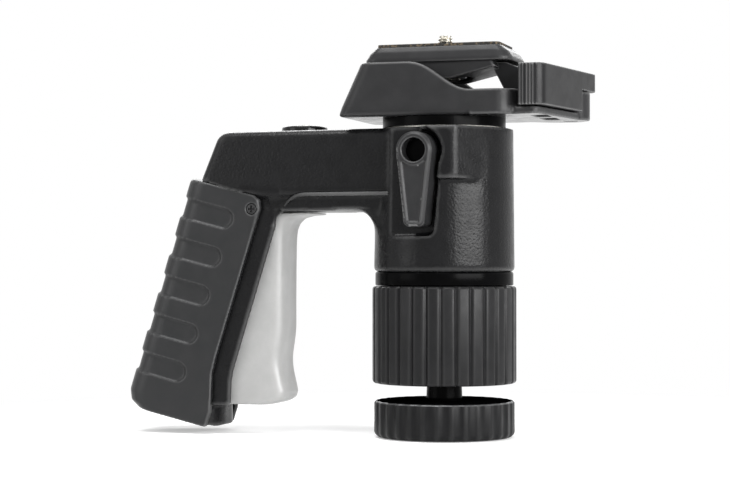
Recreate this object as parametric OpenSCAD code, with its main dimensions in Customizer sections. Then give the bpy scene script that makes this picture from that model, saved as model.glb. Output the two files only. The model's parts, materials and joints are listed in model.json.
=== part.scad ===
// Squeeze grip tripod head: a ball head that lets go while its trigger is squeezed.
// Origin at the centre of the base's underside, +Z up, +X from the handle towards the barrel.

/* [Base] */
// Diameter of the base disc
base_d = 60; // [54:0.5:66]
// Height of the base disc
base_h = 15.5; // [14:0.5:18]
// Number of finger scallops round the base disc
base_scallops = 31; // [24:1:40]
// Depth of each scallop
scallop_depth = 1; // [0.4:0.1:1.4]
// Bevel round the base disc's lower edge
base_bevel = 2.5; // [1:0.1:4]
// Bevel round the base disc's upper edge
base_top_bevel = 1.2; // [0.5:0.1:3]
// Nominal diameter of the tripod thread
tripod_thread_d = 9.525; // [6.35:0.005:10]
// Outside diameter of the threaded insert
insert_d = 16; // [13:0.5:20]
// Height of the threaded insert
insert_h = 11; // [8:0.5:12]

/* [Ball joint] */
// Diameter of the ball
ball_d = 40; // [36:0.5:42]
// Diameter of the stem where it leaves the base
stem_d = 15.5; // [13:0.1:17]
// Diameter of the stem at the ball
stem_top_d = 14.6; // [12:0.1:15]
// Height of stem that shows between the base and the ring
stem_gap = 7.5; // [7:0.1:10]
// Height of the ball's centre above the ring's underside
ball_rise = 19; // [18:0.5:22]
// Thickness of the ball seats
seat_t = 2; // [1.5:0.1:2.5]
// Height of each ball seat
seat_h = 10; // [7:0.5:12]
// Distance of each seat from the ball's middle
seat_offset = 6; // [5:0.5:7]

/* [Friction ring] */
// Diameter of the friction ring
ring_d = 61.5; // [60:0.5:66]
// Height of the friction ring
ring_h = 41.3; // [38:0.1:45]
// Number of grooves round the ring
ring_grooves = 30; // [20:1:40]
// Width of each groove
ring_groove_w = 1.6; // [0.8:0.1:2.4]
// Depth of each groove
ring_groove_depth = 0.9; // [0.4:0.1:1.2]
// Bevel on the ring's edges
ring_bevel = 1.5; // [0.5:0.1:2.5]
// Diameter of the opening that the stem swings in
ring_opening_d = 28; // [27:0.5:30]
// Height of the ring's floor, in which the lower seat sits
ring_floor_h = 17; // [16:0.5:17.5]

/* [Sleeve] */
// Wall of the threaded sleeve
sleeve_wall = 3; // [2:0.1:3.5]
// Diameter of the smooth collar
collar_d = 59; // [56:0.5:60]
// Height of the smooth collar
collar_h = 5.8; // [4:0.1:8]
// Diameter of the spigot that fits in the barrel
spigot_d = 54; // [51:0.5:55]
// Height of the spigot that fits in the barrel
spigot_h = 9; // [6:0.5:10]

/* [Barrel] */
// Diameter of the barrel at its foot
barrel_d = 60; // [59:0.5:63]
// Diameter of the barrel at its top
barrel_top_d = 59; // [58:0.5:62]
// Height of the barrel
barrel_h = 60.6; // [58:0.1:70]
// Bevel on the barrel's edges
barrel_bevel = 1.2; // [0.4:0.1:2]
// Diameter of the chambers inside the barrel
chamber_d = 44; // [42:0.5:46]
// Thickness of the barrel's top, which carries the turntable
head_t = 19; // [18:0.5:21]
// Height of the chamber of the release mechanism
release_room = 14; // [14:0.5:16]
// Thickness of the deck between the two chambers
deck_t = 6; // [4:0.5:8]

/* [Arm] */
// Height of the arm
arm_h = 29; // [27:0.5:32]
// Reach of the arm's top, from the barrel's axis
arm_reach = 98.5; // [95:0.5:101]
// How much further the arm's toe reaches than its top
arm_toe = 9; // [6:0.5:10]
// Width of the arm at the barrel
arm_w = 48; // [44:0.5:49]
// Width of the arm at the handle
arm_end_w = 36; // [34:0.5:38]
// Radius of the arm's edges
arm_edge_r = 4; // [2:0.5:6]
// Height of the narrower skirt under the arm
skirt_h = 5.6; // [5:0.1:7]
// How far the skirt stands back from the arm's sides
skirt_inset = 2.5; // [1:0.1:4]
// Radius of the fillet from the skirt to the barrel
skirt_fillet_r = 6.5; // [4:0.5:9]

/* [Handle] */
// Lean of the handle from upright
handle_tilt = 14.5; // [10:0.5:18]
// Distance of the grip's top middle from the barrel's axis
handle_x = 92; // [90:0.5:96]
// Drop of the grip's top middle below the arm's top
handle_drop = 24.6; // [23:0.1:26]
// Length of the grip
handle_l = 103; // [100:0.5:106]
// Width of the handle frame
frame_w = 30; // [28:0.5:31]
// Wall of the handle frame
frame_wall = 3; // [2:0.1:3.2]
// Depth of the handle frame behind the grip's middle line
frame_back = 17; // [15:0.5:17.5]
// Width of the handle frame behind its step
frame_back_w = 24; // [20:0.5:24]
// Distance of the frame's step in front of its back
frame_step_l = 6.5; // [5:0.5:8]
// Radius of the frame's toe, seen from below
toe_r = 12; // [8:0.5:14]
// Thickness of the rubber cover at the sides
cover_t = 3; // [2:0.1:4]
// Depth of the cover from the middle line to its front edge
cover_front = 16.2; // [14:0.1:18]
// Depth of the cover behind the middle line at its top
cover_back = 20.7; // [19.5:0.1:22]
// How much deeper the cover is at its bottom
cover_swell = 4.6; // [3:0.1:6]
// Number of palm recesses
recess_count = 5; // [3:1:6]
// Distance from one palm recess to the next
recess_pitch = 17.5; // [15:0.1:18]
// Height of each palm recess
recess_w = 8.9; // [6:0.1:11]
// Depth of each palm recess
recess_depth = 1; // [0.6:0.1:1.6]
// Head diameter of the cover's screws
cover_screw_d = 4.7; // [4:0.1:6]

/* [Trigger] */
// Width of the trigger
trigger_w = 22.4; // [18:0.2:22.6]
// Distance of the trigger's pivot from the barrel's axis
pivot_x = 84; // [83:0.5:86]
// Height of the trigger's nose above its pivot
nose_rise = 13; // [12:0.5:14]
// Diameter of the trigger's pin
trigger_pin_d = 5; // [3:0.1:6]
// Distance of the finger face from the barrel's axis
finger_x = 69.2; // [67:0.1:71]
// Height of the trigger below its pivot
trigger_drop = 77.4; // [70:0.1:79]
// Wall of the trigger
trigger_wall = 3; // [2:0.1:4]

/* [Release mechanism] */
// Diameter of the piston's stem
piston_stem_d = 14; // [10:0.5:15]
// Wire diameter of the main spring
spring_wire = 4; // [2.5:0.1:4.5]
// Mean diameter of the main spring
spring_d = 30; // [26:0.5:34]
// Number of turns of the main spring
spring_turns = 3.5; // [2.5:0.5:4]
// Slope of the ramps, as rise over run
ramp_slope = 0.5; // [0.3:0.05:0.5]
// Width of the fork and of the lift block
fork_w = 22; // [20:0.5:26]
// Width of the push rod
rod_w = 8; // [5:0.5:9]
// Height of the push rod
rod_h = 6; // [4:0.5:7]
// Travel of the push rod
rod_travel = 2.1; // [1.5:0.1:2.5]

/* [Level] */
// Diameter of the bubble level
level_d = 20; // [16:0.5:22]
// Distance of the level from the barrel's axis
level_x = 63; // [58:0.5:70]
// Height of the level above the arm
level_rise = 3.4; // [2:0.1:3.6]

/* [Pan lock] */
// Distance of the lock lever's pivot from the barrel's axis, towards the handle
lock_x = 3.3; // [2:0.1:5]
// Drop of the lock lever's pivot below the barrel's top
lock_drop = 10.3; // [10:0.1:12]
// Length of the lock lever from its pivot
lock_l = 31.7; // [26:0.1:34]
// Radius of the lock lever's head
lock_head_r = 7.7; // [6.5:0.1:8]
// Width of the lock lever's tip
lock_tip_w = 9; // [6:0.5:11]
// Thickness of the lock lever
lock_t = 13; // [10:0.5:14]
// Diameter of the hole in the lock lever's head
lock_hole_d = 10; // [9:0.1:11]
// Distance of the lever's seat from the barrel's axis
lock_seat = 24.6; // [24:0.1:26]
// Diameter of the lock screw and the brake pad
brake_d = 7; // [5:0.1:7.2]
// Radius of the clear space round the lever's head
lock_clear_r = 10.3; // [9:0.1:10.3]
// Height of the boss beside the lever
boss_h = 22; // [18:0.5:24]

/* [Turntable] */
// Diameter of the turntable
turntable_d = 52.6; // [46:0.2:56]
// Thickness of the turntable's flange
turntable_t = 3.9; // [3.5:0.1:6]
// Diameter of the turntable's spindle
spindle_d = 24; // [20:0.5:26]
// Thickness of the sliding disc under the turntable
pan_disc_t = 0.6; // [0.4:0.1:1]

/* [Clamp] */
// Reach of the clamp's left end at its foot
clamp_left = 40.8; // [39:0.1:42]
// How much shorter the left end is at its top
clamp_lean = 10.5; // [8:0.5:12]
// Reach of the clamp's right wall
clamp_right = 38; // [37:0.5:39]
// Width of the clamp
clamp_w = 56; // [52:0.5:60]
// Height of the clamp's fixed jaw
jaw_h = 22.5; // [21:0.5:25]
// Height of the low lip on the right
lip_h = 10.5; // [9:0.5:11]
// Thickness of the clamp's floor
tray_t = 6.5; // [6:0.1:8]
// Thickness of the clamp's walls
tray_wall = 4.5; // [3:0.1:5]
// Thickness of the flange under the lever
flange_t = 3; // [2:0.1:4]
// Distance of the lever's pivot from the pan axis
lever_x = 50; // [49:0.5:51]
// Distance of the lever's pivot behind the clamp's middle
lever_y = 25; // [24:0.5:26]
// Height of the lever's top above the clamp's underside
lever_top = 20.5; // [19.5:0.1:21]
// Diameter of the lever's pin
lever_pin_d = 5; // [3:0.1:6]
// Number of ribs on the lever's end
lever_ribs = 7; // [4:1:9]

/* [Camera plate] */
// Length of the plate, across the jaws
plate_l = 64; // [62:0.5:66]
// Width of the plate
plate_w = 33; // [31:0.5:36]
// Height of the plate
plate_h = 6.6; // [5:0.1:8]
// Gap between the plate and the clamp's jaw
plate_reveal = 1; // [0.4:0.1:1.6]
// Height of the plate's upright rim
plate_rim = 1.4; // [0.8:0.1:2]
// Radius of the plate's corners
plate_corner_r = 6; // [5:0.5:8]
// How far the ends of the plate draw in at the top
end_bevel = 5; // [3:0.1:6]
// How far the sides of the plate draw in at the top
side_bevel = 2.2; // [1:0.1:3]
// Height of the dovetail foot
foot_h = 7.1; // [6.8:0.1:7.6]
// Width of the dovetail foot
foot_w = 30; // [26:0.5:30]
// Thickness of the pad
pad_t = 1.2; // [0.8:0.1:2]
// Nominal diameter of the camera thread
camera_thread_d = 6.35; // [6.35:0.005:9.525]
// Height of camera thread above the pad
camera_thread_h = 4.4; // [4:0.1:6]
// Diameter of the screw's neck below the thread
camera_neck_d = 5.2; // [4.5:0.1:5.6]

/* [Clearances] */
// Radial clearance of a shaft in its hole
run_gap = 0.05; // [0.02:0.01:0.1]
// Gap between pieces that turn past each other
turn_gap = 0.3; // [0.2:0.05:0.5]
// Gap between curved pieces that are fixed together
seat_gap = 0.04; // [0.02:0.01:0.1]

/* [Hidden] */
$fn = 72;

// How far a cutter runs past the face that it cuts
past = 1;

// Heights, from the base upwards
ring_z = base_h + stem_gap;
ball_z = ring_z + ball_rise;
ring_top = ring_z + ring_h;
collar_z = ring_top + turn_gap;
barrel_z = collar_z + collar_h;
top_z = barrel_z + barrel_h;
release_top = top_z - head_t;
deck_top = release_top - release_room;
deck_z = deck_top - deck_t;
arm_z = top_z - arm_h;
arm_root = 12;
skirt_z = arm_z - skirt_h;
lock_z = top_z - lock_drop;
turntable_z = top_z + pan_disc_t;
clamp_z = turntable_z + turntable_t;
tray_z = clamp_z + tray_t;
lip_z = clamp_z + lip_h;
jaw_z = clamp_z + jaw_h;

// Ball joint
ball_r = ball_d / 2;
seat_in_r = ball_r + run_gap;
seat_out_r = ball_r + seat_t;
pocket_r = seat_out_r + run_gap;
piston_r = pocket_r + 0.7;
sleeve_bore_r = piston_r + run_gap;
sleeve_r = sleeve_bore_r + sleeve_wall;
sleeve_z = ring_z + ring_floor_h + turn_gap;
piston_top = ball_z + pocket_r + 4;

// Release mechanism
retainer_t = 2;
retainer_r = 16;
screw_head_t = 1.6;
shoulder_z = release_top + 4;
rod_z = deck_top + 2;
nose_r = 3;
nose_z = rod_z + rod_h / 2;
pivot_z = nose_z - nose_rise;
fork_tip = 8.5;
fork_slot = piston_stem_d / 2 + rod_travel + 0.5;
ramp_gap = 0.1;
ramp_mid_z = deck_top + 5;
lift_top = ramp_mid_z + ramp_slope * 8 + 1.6;
lift_nut_t = 2;
rod_end = -pivot_x + nose_r + ramp_gap;

// Handle
handle_z = top_z - handle_drop;
frame_floor_z = pivot_z - trigger_drop - 0.5;
trigger_z = pivot_z - trigger_drop;
channel_w = frame_w - 2 * frame_wall;
frame_step = frame_back - frame_step_l;
toe_x = handle_x + 6.5;
cover_screw_l = cover_t + frame_wall;

// Lock lever
lock_back = lock_seat + 0.4;
lock_room = 1.6;
lock_bevel = 1.2;
dish_depth = 0.7;
dish_rim = 0.8;
pocket_drop = lock_l + 3.7;
boss_x = 12.5;
boss_y = lock_seat + 7.6;
lock_head_t = 6;

// Clamp and plate
plate_x = 0.6;
plate_z = jaw_z + plate_reveal;
plate_top = plate_z + plate_h;
foot_top = plate_l / 2 - 8.9;
foot_wide = foot_top + 2.2;
foot_flat = 6;
foot_z = plate_z - foot_h;
foot_edge_z = plate_z - 2.5;
foot_slope = (foot_edge_z - foot_z) / (foot_wide - foot_flat);
foot_hold = 5;
jaw_gap = 0.15;
lever_z = clamp_z + flange_t + turn_gap;
knuckle_z = clamp_z + 12.3;
knuckle_r = 8.3;
lever_top_z = clamp_z + lever_top;
head_recess_r = 11;

function unit(v) = v / norm(v);

function turned(p, a) = [p[0] * cos(a) - p[1] * sin(a), p[0] * sin(a) + p[1] * cos(a)];

// Arc that rounds corner p, given as [x, y, radius], between its neighbours a and b
function corner_arc(a, p, b, n) =
    p[2] == 0 ? [[p[0], p[1]]] :
    let (
        c = [p[0], p[1]],
        u = unit([a[0], a[1]] - c),
        v = unit([b[0], b[1]] - c),
        half = acos(u * v) / 2,
        centre = c + unit(u + v) * p[2] / sin(half),
        first = c + u * p[2] / tan(half) - centre,
        sense = u[0] * v[1] - u[1] * v[0] > 0 ? -1 : 1
    )
    [for (i = [0 : n]) centre + turned(first, sense * (180 - 2 * half) * i / n)];

// Outline through corners given as [x, y, radius]
function rounded(c, n = 6) =
    [for (i = [0 : len(c) - 1]) each corner_arc(c[(i + len(c) - 1) % len(c)], c[i], c[(i + 1) % len(c)], n)];

// Solid through a stack of rings that have the same number of points
module loft(rings) {
    n = len(rings[0]);
    m = len(rings);
    sides = [
        for (i = [0 : m - 2], j = [0 : n - 1])
            let (a = i * n + j, b = i * n + (j + 1) % n)
            each [[a, a + n, b + n], [a, b + n, b]]
    ];
    foot = [for (j = [0 : n - 1]) j];
    crown = [for (j = [n - 1 : -1 : 0]) (m - 1) * n + j];
    polyhedron(points = [for (r = rings) each r], faces = concat([foot], sides, [crown]));
}

// Round wire wound on a mean radius r, its centre line rising from 0 to h
module coil(r, wire, h, turns, sides = 6, steps = 16) {
    count = round(turns * steps);
    rise = h / (turns * 360);
    echo(coil_gap = h / turns - wire);
    loft([
        for (i = [0 : count])
            let (a = 360 * turns * i / count)
            [for (k = [0 : sides - 1])
                let (b = 360 * k / sides, q = r + wire / 2 * cos(b))
                [q * cos(a), q * sin(a), rise * a + wire / 2 * sin(b)]]
    ]);
}

// Plate of width w across Y, from an outline in X and Z
module side_plate(outline, w) {
    rotate([90, 0, 0]) linear_extrude(height = w, center = true) polygon(outline);
}

// Round bar across Y between y0 and y1
module cross_bar(x, z, d, y0, y1) {
    translate([x, y1, z]) rotate([90, 0, 0]) cylinder(d = d, h = y1 - y0);
}

// Solid of revolution with bevelled edges
module bevelled_disc(d, h, foot, crown) {
    cylinder(d1 = d - 2 * foot, d2 = d, h = foot);
    translate([0, 0, foot]) cylinder(d = d, h = h - foot - crown);
    translate([0, 0, h - crown]) cylinder(d1 = d, d2 = d - 2 * crown, h = crown);
}

// Disc outline with round-bottomed flutes
module fluted(d, count, w, depth) {
    r = (w * w / 4 + depth * depth) / (2 * depth);
    difference() {
        circle(d = d);
        for (i = [0 : count - 1])
            rotate(360 * (i + 0.5) / count)
                translate([d / 2 + r - depth, 0])
                    circle(r = r, $fn = 24);
    }
}

module base_disc() {
    color("#2c2c2e")
    difference() {
        intersection() {
            linear_extrude(base_h)
                fluted(base_d, base_scallops, PI * base_d / base_scallops * 0.8, scallop_depth);
            bevelled_disc(base_d, base_h, base_bevel, base_top_bevel);
        }
        translate([0, 0, -past]) cylinder(d = insert_d + 2 * seat_gap, h = insert_h + past);
        cylinder(d = stem_top_d + 2 * seat_gap, h = base_h + past);
    }
}

module thread_insert() {
    color("#b59a55")
    difference() {
        cylinder(d = insert_d, h = insert_h);
        translate([0, 0, -past]) cylinder(d = tripod_thread_d, h = insert_h + 2 * past);
    }
}

module ball_stud() {
    color("#6a6c70") {
        translate([0, 0, insert_h]) cylinder(d = stem_top_d, h = base_h - insert_h);
        translate([0, 0, base_h]) cylinder(d1 = stem_d, d2 = stem_top_d, h = ball_z - ball_r * 0.8 - base_h);
        translate([0, 0, ball_z]) sphere(r = ball_r);
    }
}

// Ring cut from a spherical shell round the ball, between two heights above its centre
module ball_seat(low) {
    translate([0, 0, ball_z])
    intersection() {
        difference() {
            sphere(r = seat_out_r);
            sphere(r = seat_in_r);
        }
        translate([0, 0, low]) cylinder(r = seat_out_r + past, h = seat_h);
    }
}

module lower_ball_seat() {
    color("#e4e2da") ball_seat(-seat_offset - seat_h);
}

module upper_ball_seat() {
    color("#e4e2da") ball_seat(seat_offset);
}

module friction_ring() {
    color("#3a3a3c")
    difference() {
        translate([0, 0, ring_z])
        intersection() {
            linear_extrude(ring_h) fluted(ring_d, ring_grooves, ring_groove_w, ring_groove_depth);
            bevelled_disc(ring_d, ring_h, ring_bevel, ring_bevel);
        }
        translate([0, 0, ball_z]) sphere(r = pocket_r);
        translate([0, 0, ring_z - past]) cylinder(d = ring_opening_d, h = ring_h);
        translate([0, 0, ring_z + ring_floor_h]) cylinder(r = sleeve_r + run_gap, h = ring_h);
    }
}

module thread_sleeve() {
    color("#1a1a1b")
    difference() {
        union() {
            translate([0, 0, sleeve_z]) cylinder(r = sleeve_r, h = collar_z - sleeve_z);
            translate([0, 0, collar_z]) cylinder(d = collar_d, h = collar_h);
            translate([0, 0, barrel_z]) cylinder(d = spigot_d, h = spigot_h);
        }
        translate([0, 0, sleeve_z - past])
            cylinder(r = sleeve_bore_r, h = barrel_z + spigot_h - sleeve_z + 2 * past);
    }
}

// Puts what follows on the handle's leaning axes, at the top middle of the grip
module at_handle() {
    translate([-handle_x, 0, handle_z]) rotate([0, handle_tilt, 0]) children();
}

// Side outline of the handle frame, grown by g, on the handle's axes
function frame_outline(g = 0) = rounded([
    [-frame_back - g, -8, 0],
    [-frame_back + 5 - g, 3, 0],
    [25 + g, 3, 0],
    [24 + g, -5, 0],
    [20.4 + g, -handle_l * 0.765, 30],
    [23 + g, -handle_l * 0.885, 0],
    [21 + g, -handle_l * 0.975, 3],
    [17 + g, -handle_l - g, 2],
    [-frame_back - cover_swell + 1 - g, -handle_l * 0.937 - g, 6]
]);

// One cross-section of the grip's outside, drawn in by inset, at height z on the handle's axes
module grip_section(z, back, front, slant, inset) {
    half = frame_w / 2 + cover_t - inset;
    r = 9 - inset;
    translate([front, 0, z]) rotate([0, slant, 0]) translate([-front, 0, 0])
        linear_extrude(0.1)
            polygon(rounded([
                [-back + inset, -half, r],
                [front, -half, 1.5],
                [front, half, 1.5],
                [-back + inset, half, r]
            ]));
}

// Outside of the grip cover, drawn in by inset
module grip_shape(inset = 0) {
    at_handle()
    hull() {
        grip_section(-0.1, cover_back - 1.2, cover_front - 3.6, 0, inset);
        grip_section(-1.5, cover_back, cover_front - 1.2, 0, inset);
        grip_section(-5, cover_back + cover_swell * 0.05, cover_front, 0, inset);
        grip_section(-handle_l * 0.94, cover_back + cover_swell, cover_front + 0.2, 0, inset);
        grip_section(-handle_l * 0.975, cover_back + cover_swell - 1.6, cover_front + 0.3, -1, inset);
        grip_section(-handle_l, cover_back + cover_swell - 6, cover_front + 0.3, -1, inset);
    }
}

// Handle frame, grown by g: narrower behind the step, to leave room for the grip's round back
module frame_shape(g = 0) {
    at_handle() {
        side_plate(frame_outline(g), frame_back_w + 2 * g);
        intersection() {
            side_plate(frame_outline(g), frame_w + 2 * g);
            translate([-frame_step - g, -frame_w, -2 * handle_l]) cube([100, 2 * frame_w, 3 * handle_l]);
        }
    }
}

// What is cut off the frame's foot to leave a round toe
module toe_trim() {
    translate([0, 0, -past])
    linear_extrude(frame_floor_z + past)
    difference() {
        translate([-toe_x - toe_r, -frame_w]) square([4 * toe_r, 2 * frame_w]);
        polygon(rounded([
            [-toe_x - 3 * toe_r, -frame_w / 2, 0],
            [-toe_x, -frame_w / 2, toe_r],
            [-toe_x, frame_w / 2, toe_r],
            [-toe_x - 3 * toe_r, frame_w / 2, 0]
        ], 10));
    }
}

// Half of the arm's width at x
function arm_half(x) = arm_end_w / 2 + (arm_w - arm_end_w) / 2 * (x + arm_reach) / (arm_reach - arm_root);

// Cross-section of the arm with corner radius r, drawn in by inset, its foot set out further by toe
function arm_section(reach, toe, inset, r) =
    let (h = arm_end_w / 2 - inset)
    [
        for (p = rounded([
            [-h, arm_z + inset, r],
            [-h, top_z - inset, r],
            [h, top_z - inset, r],
            [h, arm_z + inset, r]
        ]))
            let (x = -reach - toe * (top_z - arm_edge_r - p[1]) / (arm_h - 2 * arm_edge_r))
            [x, p[0] + sign(p[0]) * (arm_half(x) - arm_end_w / 2), p[1]]
    ];

// Upper part of the arm: a tapered bar with round edges, from the barrel to the toe
module arm_shape() {
    r = arm_edge_r;
    loft(concat(
        [arm_section(arm_root, 0, 0, r)],
        [for (a = [0 : 16 : 80]) arm_section(arm_reach - r + r * sin(a), arm_toe, r - r * cos(a), r * cos(a))]
    ));
}

// Narrow skirt under the arm, with the fillet that runs into the barrel
module skirt_shape() {
    foot = barrel_d / 2 - 3;
    r = skirt_fillet_r;
    fillet = [for (a = [0 : 15 : 90]) [-foot - r + r * sin(a), skirt_z - r + r * cos(a)]];
    intersection() {
        side_plate(concat([[0, arm_z + 6], [-handle_x + 16, arm_z + 6], [-handle_x + 20, skirt_z]],
            fillet, [[0, skirt_z - r]]), arm_w);
        linear_extrude(top_z)
            polygon([
                [0, -arm_w / 2 + skirt_inset],
                [-handle_x, -arm_end_w / 2 + skirt_inset],
                [-handle_x, arm_end_w / 2 - skirt_inset],
                [0, arm_w / 2 - skirt_inset]
            ]);
    }
}

// Boss beside the lock lever, with a round clearance for the lever's head
module lock_boss() {
    r = barrel_top_d / 2;
    touch = acos(r / norm([boss_x, boss_y])) - atan2(boss_y, boss_x);
    difference() {
        translate([0, 0, top_z - boss_h])
            linear_extrude(boss_h)
                polygon(rounded([
                    [0, -boss_y / 2, 0],
                    [0, -boss_y, 0],
                    [boss_x, -boss_y, 4],
                    [r * cos(touch), r * sin(touch), 0]
                ]));
        cross_bar(-lock_x, lock_z, 2 * lock_clear_r, -lock_seat - 20, -lock_seat);
    }
}

// Side outline of the lock lever about its pivot, grown by g
module lock_outline(g = 0) {
    tip_r = 2.4;
    hull() {
        circle(r = lock_head_r + g, $fn = 48);
        for (s = [-1, 1])
            translate([s * (lock_tip_w / 2 - tip_r), -lock_l + tip_r]) circle(r = tip_r + g, $fn = 24);
    }
}

// Space that the lock lever swings through: a flat pocket, cut back to its seat
module lock_sweep() {
    translate([-lock_x, -lock_seat, lock_z])
    rotate([90, 0, 0])
    linear_extrude(lock_t + 10) {
        lock_outline(lock_room);
        polygon(rounded([
            [-barrel_d, -pocket_drop, 0],
            [lock_tip_w / 2 + lock_room, -pocket_drop, 3],
            [lock_head_r + lock_room, 0, 0],
            [0, 0, 0],
            [0, lock_drop + past, 0],
            [-barrel_d, lock_drop + past, 0]
        ]));
    }
}

// Open channel of the handle, in which the trigger swings, with a narrower hollow behind it
module trigger_channel() {
    intersection() {
        at_handle()
            union() {
                side_plate([
                    [-frame_back + frame_wall, 12],
                    [-frame_back + frame_wall - cover_swell + 1, -handle_l * 1.2],
                    [60, -handle_l * 1.2],
                    [60, 12]
                ], frame_back_w - 2 * frame_wall);
                side_plate([[-frame_step + frame_wall, 12], [-frame_step + frame_wall, -handle_l * 1.2],
                    [60, -handle_l * 1.2], [60, 12]], channel_w);
            }
        side_plate([
            [-handle_x - 60, frame_floor_z],
            [-40, frame_floor_z],
            [-40, skirt_z],
            [-handle_x - 60, skirt_z]
        ], frame_w);
    }
}

module body_casting() {
    color("#2b2b2c")
    difference() {
        union() {
            translate([0, 0, barrel_z]) {
                cylinder(d1 = barrel_d - 2 * barrel_bevel, d2 = barrel_d, h = barrel_bevel);
                translate([0, 0, barrel_bevel])
                    cylinder(d1 = barrel_d, d2 = barrel_top_d, h = barrel_h - barrel_bevel);
            }
            difference() {
                arm_shape();
                grip_shape(-0.15);
            }
            skirt_shape();
            difference() {
                frame_shape();
                toe_trim();
            }
            lock_boss();
        }
        translate([0, 0, barrel_z - past]) cylinder(d = spigot_d + 2 * seat_gap, h = spigot_h + past);
        translate([0, 0, barrel_z]) cylinder(d = chamber_d, h = deck_z - barrel_z);
        translate([0, 0, deck_z - past]) cylinder(d = piston_stem_d + 2 * run_gap, h = deck_t + 2 * past);
        translate([0, 0, deck_top]) cylinder(d = chamber_d, h = release_room);
        translate([0, 0, release_top - past]) cylinder(r = retainer_r + 1, h = shoulder_z - release_top + past);
        translate([0, 0, shoulder_z - past]) cylinder(d = spindle_d + 2 * run_gap, h = head_t + 2 * past);
        lock_sweep();
        cross_bar(-lock_x, lock_z, brake_d + 2 * run_gap, -lock_seat - past, -spindle_d / 4);
        trigger_channel();
        rod_tunnel();
        translate([-level_x, 0, top_z - 4]) cylinder(d = level_d + 2 * seat_gap, h = 4 + past);
        cross_bar(-pivot_x, pivot_z, trigger_pin_d + 2 * seat_gap, -frame_w, frame_w);
        at_cover_screws() cylinder(d = cover_screw_d * 0.6 + 2 * seat_gap, h = cover_screw_l + past);
    }
}

// Tunnel of the push rod through the arm, with the slot for the trigger's nose
module rod_tunnel() {
    side_room = 2;
    nose_room = 8;
    w = rod_w + 2 * side_room;
    back = -pivot_x - nose_room;
    translate([back, -w / 2, rod_z - turn_gap]) cube([-back - chamber_d / 2 + past, w, release_top - rod_z]);
    translate([back, -w / 2, skirt_z - past]) cube([2 * nose_room, w, rod_z - skirt_z + past]);
}

// Puts what follows at both screws of the cover, its +Z pointing into the handle
module at_cover_screws() {
    for (side = [-1, 1])
        translate([-handle_x + 10.6, side * (frame_w / 2 + cover_t), handle_z - 9])
            rotate([side * 90, 0, 0])
                children();
}

module grip_cover() {
    color("#414143")
    difference() {
        grip_shape();
        difference() {
            for (i = [0 : recess_count - 1]) palm_recess(i);
            grip_shape(recess_depth);
        }
        frame_shape(seat_gap);
        at_cover_screws() translate([0, 0, -past]) cylinder(d = cover_screw_d + 0.2, h = 1.5 + past);
        at_cover_screws() cylinder(d = cover_screw_d * 0.6 + 2 * seat_gap, h = cover_screw_l + past);
    }
}

// Space of one palm recess: a slot with a round end that runs out at the back of the grip
module palm_recess(i) {
    r = recess_w / 2;
    z = -handle_l * 0.127 - recess_pitch * i;
    tip = 5.5 - 1.1 * i - r;
    at_handle()
    rotate([90, 0, 0])
    linear_extrude(height = frame_w + 4 * cover_t, center = true) {
        translate([tip, z]) circle(r = r);
        translate([tip - 60, z - r]) square([60, recess_w]);
    }
}

module cover_screws() {
    color("#1c1c1d")
    at_cover_screws() {
        cylinder(d = cover_screw_d, h = 1.5);
        cylinder(d = cover_screw_d * 0.6, h = cover_screw_l - 0.5);
    }
}

module trigger_pin() {
    color("#8a8c90") cross_bar(-pivot_x, pivot_z, trigger_pin_d, -frame_w / 2 + 0.2, frame_w / 2 - 0.2);
}

// Front and back of the trigger at heights below the pivot: [height, back, front]
function trigger_rows() = [
    [0, 21.5, -7.4],
    [0.5, 21.5, -4.4],
    [1.5, 21.3, -1.8],
    [3, 21, 0.2],
    [5.4, 20.5, 1.1],
    [11.4, 19.5, 0.7],
    [19.4, 18, 0.3],
    [32.4, 15.5, 0],
    [47.4, 12.5, 0],
    [61.4, 9.5, 0.1],
    [69.4, 8, 0.2],
    [73.4, 6.6, 0.4],
    [76.4, 5, 0.8],
    [79, 0.6, 2],
    [81.2, -3, 4.4],
    [82.3, -4.2, 8.8],
    [82.6, -4.5, 13.6],
    [83.3, -5, 14.2]
];

// Horizontal section of the trigger, drawn in by inset, with round front corners
function trigger_ring(row, inset) =
    let (
        z = trigger_z + row[0],
        back = -pivot_x - row[1],
        front = -finger_x + row[2] - inset,
        half = trigger_w / 2 - inset,
        r = min(5, (front - back) / 3) - inset / 2
    )
    [for (p = rounded([[back, -half, 0.5], [front, -half, r], [front, half, r], [back, half, 0.5]], 5))
        [p[0], p[1], z]];

module trigger() {
    color("#d6d6d4")
    difference() {
        union() {
            difference() {
                loft([for (row = trigger_rows()) trigger_ring(row, 0)]);
                loft([for (i = [4 : 11]) trigger_ring(trigger_rows()[i] + [0, 4, 0], trigger_wall)]);
            }
            cross_bar(-pivot_x, pivot_z, trigger_pin_d + 6, -trigger_w / 2, trigger_w / 2);
            side_plate([
                [-pivot_x - 5, pivot_z],
                [-pivot_x + 5, pivot_z],
                [-pivot_x + nose_r - 1, nose_z],
                [-pivot_x - nose_r + 1, nose_z]
            ], rod_w);
            cross_bar(-pivot_x, nose_z, 2 * nose_r, -rod_w / 2, rod_w / 2);
        }
        cross_bar(-pivot_x, pivot_z, trigger_pin_d + 2 * run_gap, -trigger_w, trigger_w);
    }
}

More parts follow.
